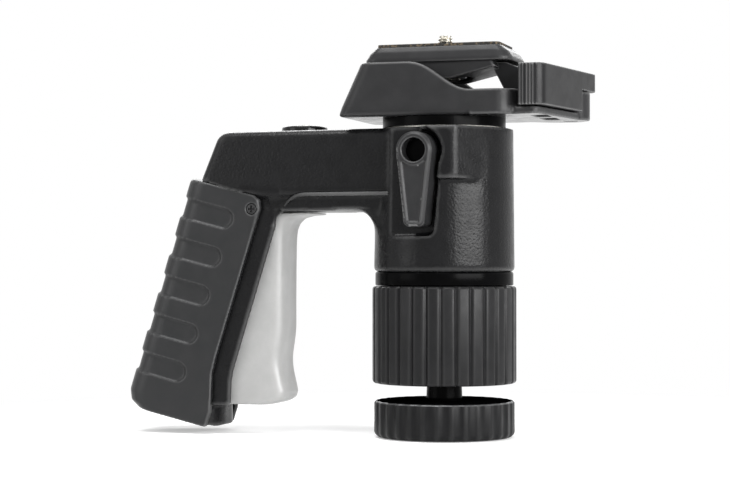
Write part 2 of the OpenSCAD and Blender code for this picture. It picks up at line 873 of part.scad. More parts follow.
module release_wedge() {
    color("#9a9ca0")
    difference() {
        union() {
            translate([rod_end, -rod_w / 2, rod_z]) cube([-fork_slot - 2 - rod_end, rod_w, rod_h]);
            side_plate([
                [-fork_slot - 4, deck_top + ramp_gap],
                [fork_tip, deck_top + ramp_gap],
                [fork_tip, ramp_mid_z - ramp_slope * fork_tip],
                [-fork_slot, ramp_mid_z + ramp_slope * fork_slot],
                [-fork_slot - 4, ramp_mid_z + ramp_slope * fork_slot]
            ], fork_w);
        }
        translate([-fork_slot, -piston_stem_d / 2 - 0.4, deck_top])
            cube([fork_slot + fork_tip + past, piston_stem_d + 0.8, release_room]);
    }
}

module lift_block() {
    color("#b8b0a0")
    difference() {
        side_plate([
            [-8, ramp_mid_z + ramp_slope * 8 + ramp_gap],
            [9, ramp_mid_z - ramp_slope * 9 + ramp_gap],
            [9, lift_top],
            [-8, lift_top]
        ], fork_w);
        translate([0, 0, deck_top]) cylinder(d = piston_stem_d + 2 * seat_gap, h = release_room);
    }
}

module lift_nut() {
    color("#8a8c90")
    difference() {
        translate([0, 0, lift_top]) cylinder(d = piston_stem_d + 4, h = lift_nut_t, $fn = 6);
        translate([0, 0, lift_top - past]) cylinder(d = 8 + 2 * seat_gap, h = lift_nut_t + 2 * past);
    }
}

module clamp_piston() {
    color("#a6a8ac")
    difference() {
        union() {
            translate([0, 0, ball_z + seat_offset])
                cylinder(r = piston_r, h = piston_top - ball_z - seat_offset);
            translate([0, 0, piston_top]) cylinder(d = piston_stem_d, h = lift_top - piston_top);
            translate([0, 0, lift_top]) cylinder(d = 8, h = lift_nut_t);
        }
        translate([0, 0, ball_z]) sphere(r = pocket_r);
    }
}

module main_spring() {
    color("#70757a")
    translate([0, 0, piston_top + spring_wire / 2 + 0.05])
        coil(spring_d / 2, spring_wire, deck_z - piston_top - spring_wire - 0.1, spring_turns);
}

module level_housing() {
    color("#1b1b1c")
    translate([-level_x, 0, top_z - 4])
    difference() {
        union() {
            cylinder(d = level_d, h = 4 + level_rise * 0.4);
            translate([0, 0, 4 + level_rise * 0.4])
                cylinder(d1 = level_d, d2 = level_d - 4, h = level_rise * 0.45);
        }
        translate([0, 0, 1]) cylinder(d = level_d - 6, h = 10);
    }
}

module level_vial() {
    color("#b9d46a")
    translate([-level_x, 0, top_z - 3])
    intersection() {
        cylinder(d = level_d - 6 - 2 * seat_gap, h = 3 + level_rise);
        translate([0, 0, 3 + level_rise - 30]) sphere(r = 30);
    }
}

module lock_lever() {
    color("#3e3e40")
    difference() {
        translate([-lock_x, -lock_back, lock_z])
        rotate([90, 0, 0])
        difference() {
            hull() {
                linear_extrude(lock_t - lock_bevel) lock_outline();
                linear_extrude(lock_t) lock_outline(-lock_bevel);
            }
            translate([0, 0, lock_t - dish_depth])
            linear_extrude(dish_depth + past)
            difference() {
                lock_outline(-lock_bevel - dish_rim);
                circle(d = lock_hole_d + 4 * dish_rim);
            }
        }
        cross_bar(-lock_x, lock_z, lock_hole_d, -lock_back - lock_t - past, -lock_back + past);
    }
}

module lock_screw() {
    color("#1e1e1f") {
        cross_bar(-lock_x, lock_z, lock_hole_d - 2 * seat_gap, -lock_back - lock_head_t, -lock_back);
        cross_bar(-lock_x, lock_z, brake_d, -lock_back, -spindle_d / 2 - 5);
    }
}

module brake_pad() {
    color("#7a5a34")
    difference() {
        cross_bar(-lock_x, lock_z, brake_d, -spindle_d / 2 - 4.6, 0);
        translate([0, 0, lock_z - brake_d]) cylinder(r = spindle_d / 2 + run_gap, h = 2 * brake_d);
    }
}

module pan_disc() {
    color("#dcdad2")
    translate([0, 0, top_z])
    difference() {
        cylinder(d = turntable_d - 2, h = pan_disc_t);
        translate([0, 0, -past]) cylinder(d = spindle_d + 0.6, h = pan_disc_t + 2 * past);
    }
}

module turntable() {
    color("#242425")
    difference() {
        union() {
            translate([0, 0, turntable_z]) cylinder(d = turntable_d, h = turntable_t);
            translate([0, 0, shoulder_z - run_gap])
                cylinder(d = spindle_d, h = turntable_z - shoulder_z + run_gap);
        }
        translate([0, 0, shoulder_z - past]) cylinder(d = 6 + 2 * seat_gap, h = 12 + past);
        at_base_screws()
            translate([0, 0, -turntable_t - past])
                cylinder(d = 3 + 2 * seat_gap, h = turntable_t + 2 * past);
    }
}

module retaining_washer() {
    color("#9a9ca0")
    translate([0, 0, shoulder_z - run_gap - retainer_t])
    difference() {
        cylinder(r = retainer_r, h = retainer_t);
        translate([0, 0, -past]) cylinder(d = 6 + 2 * seat_gap, h = retainer_t + 2 * past);
    }
}

module turntable_screw() {
    color("#55585c")
    translate([0, 0, shoulder_z - run_gap - retainer_t - screw_head_t]) {
        cylinder(d = 11, h = screw_head_t);
        cylinder(d = 6, h = screw_head_t + retainer_t + 10);
    }
}

// Puts what follows at the four screws of the clamp, on the clamp's underside
module at_base_screws() {
    for (a = [45 : 90 : 315])
        rotate(a) translate([turntable_d * 0.36, 0, clamp_z]) rotate(-a) children();
}

module base_screws() {
    color("#85878b")
    at_base_screws() {
        translate([0, 0, -turntable_t + 0.5]) cylinder(d = 3, h = turntable_t + tray_t - 2.5);
        translate([0, 0, tray_t - 2.5]) cylinder(d = 5.5, h = 2);
    }
}

// Plan of the clamp with its left end at x
module clamp_plan(x) {
    half = clamp_w / 2;
    linear_extrude(0.1)
        polygon(rounded([
            [-x, -half, 6.5],
            [clamp_right, -half, 11],
            [clamp_right, half, 11],
            [-x, half, 6.5]
        ], 8));
}

// Side outline of the plate's foot: a dovetail with a wide bevel under it
function foot_outline() = [
    [plate_x - foot_flat, foot_z],
    [plate_x + foot_flat, foot_z],
    [plate_x + foot_wide, foot_edge_z],
    [plate_x + foot_top, plate_z],
    [plate_x - foot_top, plate_z],
    [plate_x - foot_wide, foot_edge_z]
];

// Curve along which the clamp's walls drop from the jaw to the lip
function wall_curve() = [
    for (t = [0 : 0.1 : 1]) [-8 + 26 * t, lip_z + (jaw_z - lip_z) * (1 + cos(180 * t)) / 2]
];

// Plan of the lever's flange, which follows the lever's outer face
module flange_plan() {
    polygon(rounded([
        [clamp_right - 10, -clamp_w / 2 + 6, 0],
        [clamp_right + 8, -clamp_w / 2 + 2, 3],
        [lever_x + knuckle_r, lever_y + 9.5, 7],
        [lever_x - knuckle_r, lever_y + 9.5, 7],
        [clamp_right - 10, clamp_w / 2 - 4, 0]
    ]));
}

module clamp_base() {
    color("#39393b")
    difference() {
        union() {
            difference() {
                hull() {
                    translate([0, 0, clamp_z]) clamp_plan(clamp_left);
                    translate([0, 0, jaw_z - 0.1]) clamp_plan(clamp_left - clamp_lean);
                }
                side_plate(concat(wall_curve(), [[80, lip_z], [80, jaw_z + 9], [-8, jaw_z + 9]]), clamp_w + 9);
                tray_space();
            }
            translate([0, 0, clamp_z]) linear_extrude(flange_t) flange_plan();
            translate([lever_x, lever_y, clamp_z]) cylinder(r = knuckle_r, h = knuckle_z - clamp_z);
        }
        translate([lever_x, lever_y, clamp_z - past]) cylinder(d = lever_pin_d + 2 * seat_gap, h = 30);
        translate([lever_x, lever_y, knuckle_z - 7]) cylinder(d = 11, h = 8);
        at_base_screws() translate([0, 0, -past]) cylinder(d = 3 + 2 * seat_gap, h = tray_t + 2 * past);
        at_base_screws() translate([0, 0, tray_t - 2.5]) cylinder(d = 5.5 + 2 * seat_gap, h = 5);
        for (y = [-14, 4]) translate([clamp_right + 3, y, clamp_z - past]) cube([6, 12, past + flange_t - 1.4]);
    }
}

// Space inside the clamp: the tray, and the undercut that traps the plate's foot
module tray_space() {
    inner_w = clamp_w - 2 * tray_wall;
    side_plate([
        [plate_x - foot_wide + foot_hold, tray_z],
        [clamp_right - tray_wall, tray_z],
        [clamp_right - tray_wall, plate_z + past],
        [plate_x - foot_top - jaw_gap, plate_z + past],
        [plate_x - foot_top - jaw_gap, plate_z],
        [plate_x - foot_wide - jaw_gap, foot_edge_z],
        [plate_x - foot_wide - jaw_gap, foot_edge_z - jaw_gap],
        [plate_x - foot_wide + foot_hold, foot_edge_z - foot_hold * foot_slope - jaw_gap]
    ], inner_w);
}

// Plan of the release lever
function lever_outline() = rounded([
    [clamp_right + 0.6, -clamp_w / 2 - 2, 1.5],
    [clamp_right + 11, -clamp_w / 2 - 2, 5],
    [lever_x + 10.7, lever_y + 10, 5],
    [lever_x - 6, lever_y + 10, 6],
    [clamp_right + 0.6, lever_y - 6, 3]
]);

module release_lever() {
    color("#323234")
    difference() {
        union() {
            translate([0, 0, knuckle_z + turn_gap])
                linear_extrude(lever_top_z - knuckle_z - turn_gap) polygon(lever_outline());
            translate([0, 0, lever_z])
                linear_extrude(knuckle_z + turn_gap - lever_z)
                    intersection() {
                        polygon(lever_outline());
                        translate([0, lever_y - 110]) square([100, 100]);
                    }
            lever_cam();
        }
        translate([lever_x, lever_y, lever_z]) cylinder(d = lever_pin_d + 2 * run_gap, h = 40);
        translate([lever_x, lever_y, lever_top_z - 1.5]) cylinder(d = lever_pin_d + 3.4, h = 5);
        for (i = [0 : lever_ribs - 1])
            translate([clamp_right + 2.2 + 1.4 * i, -clamp_w / 2 - 2, lever_z - past])
                cylinder(r = 0.5, h = 40, $fn = 16);
    }
}

// Cam of the lever, which bears on the plate's dovetail and holds it from below
module lever_cam() {
    edge = plate_x + foot_wide + jaw_gap;
    crest = plate_x + foot_top + jaw_gap;
    hold = foot_hold / 2;
    translate([0, 5, 0])
        side_plate([
            [crest + turn_gap, plate_z - turn_gap],
            [edge, foot_edge_z],
            [edge, foot_edge_z - jaw_gap],
            [edge - hold, foot_edge_z - hold * foot_slope - jaw_gap],
            [edge + 2, lip_z + past],
            [clamp_right + 4, lip_z + past],
            [clamp_right + 4, lever_top_z - turn_gap],
            [clamp_right - 2, lever_top_z - turn_gap],
            [plate_x + plate_l / 2 - 4, plate_z - turn_gap]
        ], 26);
}

module lever_pin() {
    color("#8a8c90")
    translate([lever_x, lever_y, clamp_z + 0.2]) {
        cylinder(d = lever_pin_d, h = lever_top_z - clamp_z - 0.4);
        translate([0, 0, lever_top_z - clamp_z - 1.7]) cylinder(d = lever_pin_d + 3, h = 1.5);
    }
}

module lever_spring() {
    color("#70757a")
    translate([lever_x, lever_y, knuckle_z - 6.45]) coil(4.1, 1, 5.7, 3.5, 6, 12);
}

module quick_plate() {
    color("#363638")
    difference() {
        union() {
            loft([
                plate_ring(plate_z, 0),
                plate_ring(plate_z + plate_rim, 0),
                plate_ring(plate_z + 0.65 * plate_h, 0.4),
                plate_ring(plate_top, 1)
            ]);
            side_plate(foot_outline(), foot_w);
        }
        translate([plate_x, 0, foot_z - past]) cylinder(d = camera_neck_d + 2 * run_gap, h = 40);
        translate([plate_x, 0, foot_z - past]) cylinder(r = head_recess_r, h = past + 4.5);
    }
}

// Rounded outline of the plate at height z, drawn in by a share of its bevels
function plate_ring(z, share, inset = 0) =
    let (
        x = plate_l / 2 - share * end_bevel - inset,
        y = plate_w / 2 - share * side_bevel - inset,
        r = plate_corner_r * (1 - 0.55 * share) - inset / 2
    )
    [for (p = rounded([[-x, -y, r], [x, -y, r], [x, y, r], [-x, y, r]])) [plate_x + p[0], p[1], z]];

module plate_pad() {
    color("#6b5a44")
    translate([0, 0, plate_top])
    difference() {
        linear_extrude(pad_t) polygon([for (p = plate_ring(0, 1, 0.4)) [p[0], p[1]]]);
        translate([plate_x, 0, -past]) cylinder(d = camera_thread_d + 4 * thread_lift, h = pad_t + 2 * past);
    }
}

// Height of the ring's pivots in the camera screw's head, and of the foot of its thread
ring_pivot_z = foot_z + 1.9;
thread_lift = 0.2;
thread_z = plate_top + pad_t + thread_lift;

module camera_screw() {
    color("#b9b2a0")
    difference() {
        union() {
            translate([plate_x, 0, foot_z + 0.4]) cylinder(d = 13, h = 4 - run_gap);
            translate([plate_x, 0, foot_z + 4]) cylinder(d = camera_neck_d, h = thread_z - foot_z - 4);
            translate([plate_x, 0, thread_z]) cylinder(d = camera_thread_d, h = camera_thread_h - thread_lift);
        }
        cross_bar(plate_x, ring_pivot_z, 2, -9, -4);
        cross_bar(plate_x, ring_pivot_z, 2, 4, 9);
        translate([plate_x - 5, -0.8, foot_z - past]) cube([10, 1.6, past + 1.6]);
    }
}

module screw_ring() {
    color("#c9cacc") {
        translate([plate_x, 0, ring_pivot_z])
            rotate([0, 0, -90]) rotate_extrude(angle = 180) translate([8.2, 0]) circle(r = 0.9);
        cross_bar(plate_x, ring_pivot_z, 1.8, -8.2, -4.4);
        cross_bar(plate_x, ring_pivot_z, 1.8, 4.4, 8.2);
    }
}

base_disc();
thread_insert();
ball_stud();
lower_ball_seat();
upper_ball_seat();
friction_ring();
thread_sleeve();
body_casting();
grip_cover();
cover_screws();
trigger_pin();
trigger();
release_wedge();
lift_block();
lift_nut();
clamp_piston();
main_spring();
level_housing();
level_vial();
lock_lever();
lock_screw();
brake_pad();
pan_disc();
turntable();
retaining_washer();
turntable_screw();
clamp_base();
base_screws();
release_lever();
lever_pin();
lever_spring();
quick_plate();
plate_pad();
camera_screw();
screw_ring();
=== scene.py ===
"""Looks of a squeeze grip tripod head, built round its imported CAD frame."""
import json
import logging
import math
from dataclasses import dataclass, field
from enum import Enum
from typing import Any, Callable, Optional, Sequence

import bpy
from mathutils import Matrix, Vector

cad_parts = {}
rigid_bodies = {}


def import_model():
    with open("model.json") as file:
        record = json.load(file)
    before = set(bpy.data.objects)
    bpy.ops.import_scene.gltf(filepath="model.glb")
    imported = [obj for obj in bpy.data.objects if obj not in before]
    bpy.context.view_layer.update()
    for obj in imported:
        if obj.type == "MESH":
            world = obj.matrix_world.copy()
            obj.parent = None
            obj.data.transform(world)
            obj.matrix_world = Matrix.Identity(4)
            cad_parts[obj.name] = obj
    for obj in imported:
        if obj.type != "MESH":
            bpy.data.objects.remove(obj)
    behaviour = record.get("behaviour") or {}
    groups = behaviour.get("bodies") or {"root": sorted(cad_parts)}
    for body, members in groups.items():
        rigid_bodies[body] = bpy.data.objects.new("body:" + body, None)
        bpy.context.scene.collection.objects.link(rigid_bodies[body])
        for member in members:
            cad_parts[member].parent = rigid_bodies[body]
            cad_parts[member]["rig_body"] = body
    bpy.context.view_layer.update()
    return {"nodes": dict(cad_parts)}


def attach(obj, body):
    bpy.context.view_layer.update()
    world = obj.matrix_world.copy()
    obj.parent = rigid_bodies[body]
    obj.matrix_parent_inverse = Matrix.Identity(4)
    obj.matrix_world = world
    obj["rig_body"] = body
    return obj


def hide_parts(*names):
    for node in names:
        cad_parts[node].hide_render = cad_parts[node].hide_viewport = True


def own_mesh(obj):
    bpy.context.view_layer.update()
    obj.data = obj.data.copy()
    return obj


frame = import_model()
LOG = logging.getLogger("grip_head")
MM = 0.001
Point = tuple[float, float]
Place = tuple[float, float, float]
MADE: dict[str, bpy.types.Material] = {}
EDGE_HIGHLIGHT_GREY = "#8C8C8C"  # grey that the painted highlight along edges goes towards
SHARP_MATCH = (0.99, 0.8)  # match of rounded and plain normal where an edge begins and where it is full
RIDGE_POINT = (0.51, 0.57)  # pointiness where a ridge begins and where it is full
DOUBLES_MM = 0.005  # points closer than this are one
SHADE_DEG = 30.0  # edges sharper than this stay sharp
MACHINED_DEG = 25.0  # the same for machined pieces
RELAX = 0.5  # share of the way that one round of smoothing moves a point
STRAIGHT = 1.01  # height of an upright normal, with a margin


class Edge(Enum):
    """How round an edge is left by the way a piece was made, in millimetres."""

    SHARP = 0.15
    MACHINED = 0.3
    CAST = 0.6
    MOULDED = 0.9


def linear(hex_colour: str) -> tuple[float, float, float, float]:
    """Turns an sRGB hex colour into linear RGBA.

    Args:
        hex_colour: Colour such as "#2B2B2C".

    Returns:
        Linear red, green, blue and an alpha of 1.
    """
    parts = [int(hex_colour[i:i + 2], 16) / 255 for i in (1, 3, 5)]
    red, green, blue = [c / 12.92 if c <= 0.04045 else ((c + 0.055) / 1.055) ** 2.4 for c in parts]
    return red, green, blue, 1.0


def add(tree: bpy.types.NodeTree, kind: str, inputs: Optional[dict] = None,
        **settings: Any) -> bpy.types.Node:
    """Adds a shader node with its settings, values and links.

    Args:
        tree: Node tree that gets the node.
        kind: Blender's type name of the node.
        inputs: Socket name or number to a value, or to the output socket to link.
        **settings: Attributes of the node.

    Returns:
        The new node.
    """
    node = tree.nodes.new(kind)
    for key, value in settings.items():
        setattr(node, key, value)
    for key, value in (inputs or {}).items():
        if isinstance(value, bpy.types.NodeSocket):
            tree.links.new(value, node.inputs[key])
        else:
            node.inputs[key].default_value = value
    return node


def seen_directly(tree: bpy.types.NodeTree) -> bpy.types.NodeSocket:
    """Gives 1 for rays from the camera, a mirror or a lens, and 0 for those that only light."""
    path = add(tree, "ShaderNodeLightPath")
    kinds = path.outputs["Is Camera Ray"]
    for other in ("Is Glossy Ray", "Is Transmission Ray"):
        both = add(tree, "ShaderNodeMath", {0: kinds, 1: path.outputs[other]}, operation="MAXIMUM")
        kinds = both.outputs[0]
    return kinds


@dataclass(frozen=True)
class Finish:
    """A surface as the eye meets it: colour, gloss, grain, how its edges catch light and the highlight painted
    along them.

    Attributes:
        name: Material name.
        colour: Main sRGB colour.
        second: Colour that the main one varies towards.
        roughness: Middle roughness.
        spread: How far the roughness varies either way.
        metallic: 1 for bare metal.
        grain_mm: Size of the surface grain.
        depth_mm: Height of the surface grain.
        cloud_mm: Size of the slow variation of colour and gloss.
        edge: How round the edges look.
        edge_highlight: How much lighter the edges and ridges are painted: a painted highlight along them.
        specular: Specular level of the shader.
        coat: Clear coat weight.
    """

    name: str
    colour: str
    second: str
    roughness: float
    spread: float = 0.06
    metallic: float = 0.0
    grain_mm: float = 0.8
    depth_mm: float = 0.03
    cloud_mm: float = 9.0
    edge: Edge = Edge.CAST
    edge_highlight: float = 0.15
    specular: float = 0.5
    coat: float = 0.0

    def height(self, tree: bpy.types.NodeTree, place: bpy.types.NodeSocket) -> bpy.types.NodeSocket:
        """Gives the grain's height.

        Args:
            tree: Node tree of the material.
            place: Object coordinates.

        Returns:
            Socket that holds a height from 0 to 1.
        """
        grain = add(tree, "ShaderNodeTexNoise", {
            "Vector": place, "Scale": 1 / (self.grain_mm * MM), "Detail": 3.0, "Roughness": 0.55})
        return grain.outputs["Fac"]

    def tint(self, tree: bpy.types.NodeTree, place: bpy.types.NodeSocket) -> bpy.types.NodeSocket:
        """Gives the colour, which drifts slowly between the two tones.

        Args:
            tree: Node tree of the material.
            place: Object coordinates.

        Returns:
            Socket that holds the colour.
        """
        cloud = add(tree, "ShaderNodeTexNoise", {
            "Vector": place, "Scale": 1 / (self.cloud_mm * MM), "Detail": 4.0, "Roughness": 0.6})
        return self.ramp(tree, cloud.outputs["Fac"], 0.35, 0.7)

    def ramp(self, tree: bpy.types.NodeTree, share: bpy.types.NodeSocket, low: float,
             high: float) -> bpy.types.NodeSocket:
        """Goes from the main colour to the second.

        Args:
            tree: Node tree of the material.
            share: Value that decides the colour.
            low: Value up to which the main colour holds.
            high: Value from which the second colour holds.

        Returns:
            Socket that holds the colour.
        """
        blend = add(tree, "ShaderNodeValToRGB", {"Fac": share})
        stops = blend.color_ramp.elements
        stops[0].position, stops[1].position = low, high
        stops[0].color, stops[1].color = linear(self.colour), linear(self.second)
        return blend.outputs["Color"]

    def material(self) -> bpy.types.Material:
        """Returns the material, made on first use."""
        if self.name in MADE:
            return MADE[self.name]
        made = MADE[self.name] = bpy.data.materials.new(self.name)
        made.use_nodes = True
        tree = made.node_tree
        shader = tree.nodes["Principled BSDF"]
        place = add(tree, "ShaderNodeTexCoord").outputs["Object"]
        self.shade(tree, shader, place)
        made.diffuse_color = linear(self.colour)
        return made

    def shade(self, tree: bpy.types.NodeTree, shader: bpy.types.Node,
              place: bpy.types.NodeSocket) -> None:
        """Links the finish into a principled shader.

        Args:
            tree: Node tree of the material.
            shader: Principled shader to set.
            place: Object coordinates.
        """
        # The bevel's normal and the pointiness find edges and ridges, which are painted lighter towards a
        # grey: a painted highlight along them.
        round_edge = add(tree, "ShaderNodeBevel", {"Radius": self.edge.value * MM}, samples=6)
        shape = add(tree, "ShaderNodeNewGeometry")
        match = add(tree, "ShaderNodeVectorMath", {
            0: round_edge.outputs[0], 1: shape.outputs["Normal"]}, operation="DOT_PRODUCT")
        sharp = add(tree, "ShaderNodeMapRange", {
            "Value": match.outputs["Value"], "From Min": SHARP_MATCH[0], "From Max": SHARP_MATCH[1]})
        ridges = add(tree, "ShaderNodeMapRange", {
            "Value": shape.outputs["Pointiness"], "From Min": RIDGE_POINT[0], "From Max": RIDGE_POINT[1]})
        either = add(tree, "ShaderNodeMath", {
            0: sharp.outputs[0], 1: ridges.outputs[0]}, operation="MAXIMUM")
        edge_highlight_share = add(tree, "ShaderNodeMath", {0: either.outputs[0], 1: self.edge_highlight}, operation="MULTIPLY")
        edge_highlight_tone = add(tree, "ShaderNodeMix", {
            0: edge_highlight_share.outputs[0], 6: self.tint(tree, place), 7: linear(EDGE_HIGHLIGHT_GREY)}, data_type="RGBA")
        cloud = add(tree, "ShaderNodeTexNoise", {
            "Vector": place, "Scale": 1 / (self.cloud_mm * 0.6 * MM), "Detail": 5.0})
        gloss = add(tree, "ShaderNodeMapRange", {
            "Value": cloud.outputs["Fac"], "From Min": 0.3, "From Max": 0.7,
            "To Min": self.roughness - self.spread, "To Max": self.roughness + self.spread})
        bump = add(tree, "ShaderNodeBump", {
            "Height": self.height(tree, place), "Normal": round_edge.outputs[0], "Strength": 1.0,
            "Distance": self.depth_mm * MM})
        tree.links.new(edge_highlight_tone.outputs[2], shader.inputs["Base Color"])
        tree.links.new(gloss.outputs[0], shader.inputs["Roughness"])
        tree.links.new(bump.outputs[0], shader.inputs["Normal"])
        shader.inputs["Metallic"].default_value = self.metallic
        shader.inputs["Specular IOR Level"].default_value = self.specular
        shader.inputs["Coat Weight"].default_value = self.coat


@dataclass(frozen=True)
class CrinklePaint(Finish):
    """Stoved crinkle paint on a casting: small hard pebbles that break up the highlights."""

    def height(self, tree: bpy.types.NodeTree, place: bpy.types.NodeSocket) -> bpy.types.NodeSocket:
        """Gives rounded pebbles of uneven size.

        Args:
            tree: Node tree of the material.
            place: Object coordinates.

        Returns:
            Socket that holds a height from 0 to 1.
        """
        warp = add(tree, "ShaderNodeTexNoise", {
            "Vector": place, "Scale": 0.6 / (self.grain_mm * MM), "Detail": 2.0})
        cells = add(tree, "ShaderNodeTexVoronoi", {
            "Vector": place, "Scale": 1 / (self.grain_mm * MM), "Randomness": 1.0}, feature="SMOOTH_F1")
        mixed = add(tree, "ShaderNodeMath", {
            0: cells.outputs["Distance"], 1: warp.outputs["Fac"]}, operation="MULTIPLY")
        top = add(tree, "ShaderNodeMath", {0: 1.0, 1: mixed.outputs[0]}, operation="SUBTRACT")
        return top.outputs[0]


@dataclass(frozen=True)
class CorkRubber(Finish):
    """Cork granules bound in dark rubber: tan specks of about a millimetre."""

    def tint(self, tree: bpy.types.NodeTree, place: bpy.types.NodeSocket) -> bpy.types.NodeSocket:
        """Gives specks of cork in the dark binder.

        Args:
            tree: Node tree of the material.
            place: Object coordinates.

        Returns:
            Socket that holds the colour.
        """
        cells = add(tree, "ShaderNodeTexVoronoi", {
            "Vector": place, "Scale": 1 / (self.grain_mm * MM), "Randomness": 1.0})
        chance = add(tree, "ShaderNodeSeparateColor", {0: cells.outputs["Color"]})
        return self.ramp(tree, chance.outputs[0], 0.62, 0.74)


# Finishes with an edge_highlight above 0, the default among them, carry a painted highlight along their edges
# and ridges.
# Black stoved crinkle paint on an aluminium casting: pebbled, breaks up the highlight on the barrel.
CASTING = CrinklePaint("crinkle_paint_casting", "#0F0F10", "#141415", 0.28, grain_mm=0.9, depth_mm=0.12,
                       edge=Edge.MOULDED, edge_highlight=0.35, specular=0.16)
# Black satin enamel on a die casting: smoother than the barrel, soft long highlights along its edges, partly
# painted on.
SATIN = Finish("satin_stove_enamel", "#202021", "#272728", 0.38, grain_mm=0.5, depth_mm=0.008,
               edge=Edge.MOULDED, edge_highlight=0.45, specular=0.24)
# The same enamel on the release lever, painted a little darker as painted shade, with a stronger painted
# highlight along its edges.
SHADED_SATIN = Finish("satin_enamel_painted_shade", "#161617", "#1C1C1D", 0.34, grain_mm=0.5, depth_mm=0.006,
                 edge=Edge.CAST, edge_highlight=0.6, specular=0.16)
# The same enamel on the clamp's milled underside: smoother, so at a low angle it mirrors the floor; its paler
# colour adds a painted reflection of the white floor.
UNDERSIDE = Finish("milled_enamel_painted_reflection", "#2A2A2B", "#313132", 0.18, 0.05, grain_mm=0.6, depth_mm=0.003,
                   edge_highlight=0.0, specular=0.6)
# Black anodised turned aluminium: nearly black with a tight narrow highlight.
ANODISED = Finish("black_anodised_aluminium", "#030303", "#060607", 0.22, 0.04, grain_mm=0.3, depth_mm=0.003,
                  edge=Edge.MACHINED, edge_highlight=0.0, specular=0.03)
# Anodised base whose scallops are rubbed by hands: a little greyer, with a dull sheen.
RUBBED = Finish("rubbed_anodised_aluminium", "#121213", "#181819", 0.36, grain_mm=0.4, depth_mm=0.004,
                edge=Edge.MACHINED, edge_highlight=0.1, specular=0.12)
# Black anodising on the base's blasted top face, out of reach of hands: dead matt, no sheen at a low angle.
BLASTED = Finish("anodised_on_blasted_face", "#060607", "#0A0A0B", 0.8, grain_mm=0.4, depth_mm=0.01,
                 edge=Edge.MACHINED, edge_highlight=0.0, specular=0.0)
# Painted highlight on the base's upward-sloping rim: a bright, dull grey metallic line.
RIM_HIGHLIGHT = Finish("rim_painted_highlight", "#4A4A4B", "#6A6B6C", 0.34, metallic=0.5, grain_mm=0.6, depth_mm=0.004,
              edge=Edge.MACHINED, edge_highlight=0.0, specular=0.3)
# Glass-filled nylon moulding: dull black, with a faint grain, and a painted highlight that makes the ribs a
# little greyer at their edges.
RING = Finish("moulded_nylon_black", "#131314", "#1A1A1B", 0.34, grain_mm=0.6, depth_mm=0.008,
              edge=Edge.MACHINED, edge_highlight=0.1, specular=0.14)
# Moulded rubber: dark grey, soft broad sheen, very fine grain, and a painted highlight along its edges.
RUBBER = Finish("moulded_rubber", "#1B1C1D", "#212122", 0.38, grain_mm=0.5, depth_mm=0.008, edge_highlight=0.4,
                edge=Edge.MOULDED, specular=0.34)
# Pale grey injection-moulded plastic with a satin skin: soft wide highlights, nearly neutral.
PALE = Finish("pale_grey_abs", "#A4A4A3", "#AEAEAD", 0.36, grain_mm=1.2, depth_mm=0.004, edge_highlight=0.0,
              edge=Edge.MOULDED)
# Polished black plastic: mirror-like edge line, partly a painted highlight, no grain.
GLOSS = Finish("polished_black_acrylic", "#090909", "#0D0D0E", 0.14, 0.03, depth_mm=0.002, edge=Edge.MACHINED,
               specular=0.2)
# Clear acrylic cap over yellow-green spirit: bright, glossy, seen as one body of colour.
SPIRIT = Finish("acrylic_over_spirit", "#93AE3C", "#A4BC52", 0.08, 0.02, depth_mm=0.001,
                edge=Edge.MACHINED, edge_highlight=0.0, coat=1.0)
# Air in the vial: a paler, glossy spot.
BUBBLE = Finish("air_bubble", "#D9E3B4", "#E3EBC6", 0.06, 0.02, depth_mm=0.001,
                edge=Edge.SHARP, edge_highlight=0.0, coat=1.0)
# Unfilled nylon: milky, waxy.
NYLON = Finish("natural_nylon", "#DCDAD2", "#E6E4DC", 0.45, edge_highlight=0.0, depth_mm=0.01)
# Zinc-plated steel: light grey metal with a fine streak of plating.
STEEL = Finish("zinc_plated_steel", "#9EA0A3", "#B0B1B3", 0.3, metallic=1.0, grain_mm=0.4, depth_mm=0.004,
               edge=Edge.SHARP, edge_highlight=0.0)
# Blackened steel: dark oily metal.
BLACK_STEEL = Finish("blackened_steel", "#1A1A1B", "#242425", 0.38, metallic=0.6, grain_mm=0.4, depth_mm=0.008,
                     edge=Edge.SHARP, edge_highlight=0.1)
# Nickelled brass: pale warm metal with a bright highlight.
BRASS = Finish("nickelled_brass", "#A8A49A", "#B8B4AA", 0.26, metallic=1.0, depth_mm=0.004, edge=Edge.SHARP,
               edge_highlight=0.0)
# Cork and rubber sheet: dark binder with scattered tan specks, quite matt.
CORK = CorkRubber("cork_and_rubber_sheet", "#1A1815", "#5A4E3D", 0.8, grain_mm=0.9, depth_mm=0.05,
                  edge_highlight=0.0)


def deselect() -> None:
    """Leaves edit mode and selects nothing."""
    if bpy.context.object and bpy.context.object.mode != "OBJECT":
        bpy.ops.object.mode_set(mode="OBJECT")
    bpy.ops.object.select_all(action="DESELECT")


def take(piece: bpy.types.Object) -> None:
    """Selects one object and makes it active."""
    deselect()
    piece.select_set(True)
    bpy.context.view_layer.objects.active = piece


def edit_all(piece: bpy.types.Object) -> None:
    """Opens one object in edit mode with all of its mesh selected."""
    take(piece)
    bpy.ops.object.mode_set(mode="EDIT")
    bpy.ops.mesh.select_all(action="SELECT")


def twin(name: str, model: bpy.types.Object) -> bpy.types.Object:
    """Returns a copy of an object with a mesh of its own."""
    piece = bpy.data.objects.new(name, model.data.copy())
    bpy.context.scene.collection.objects.link(piece)
    return piece


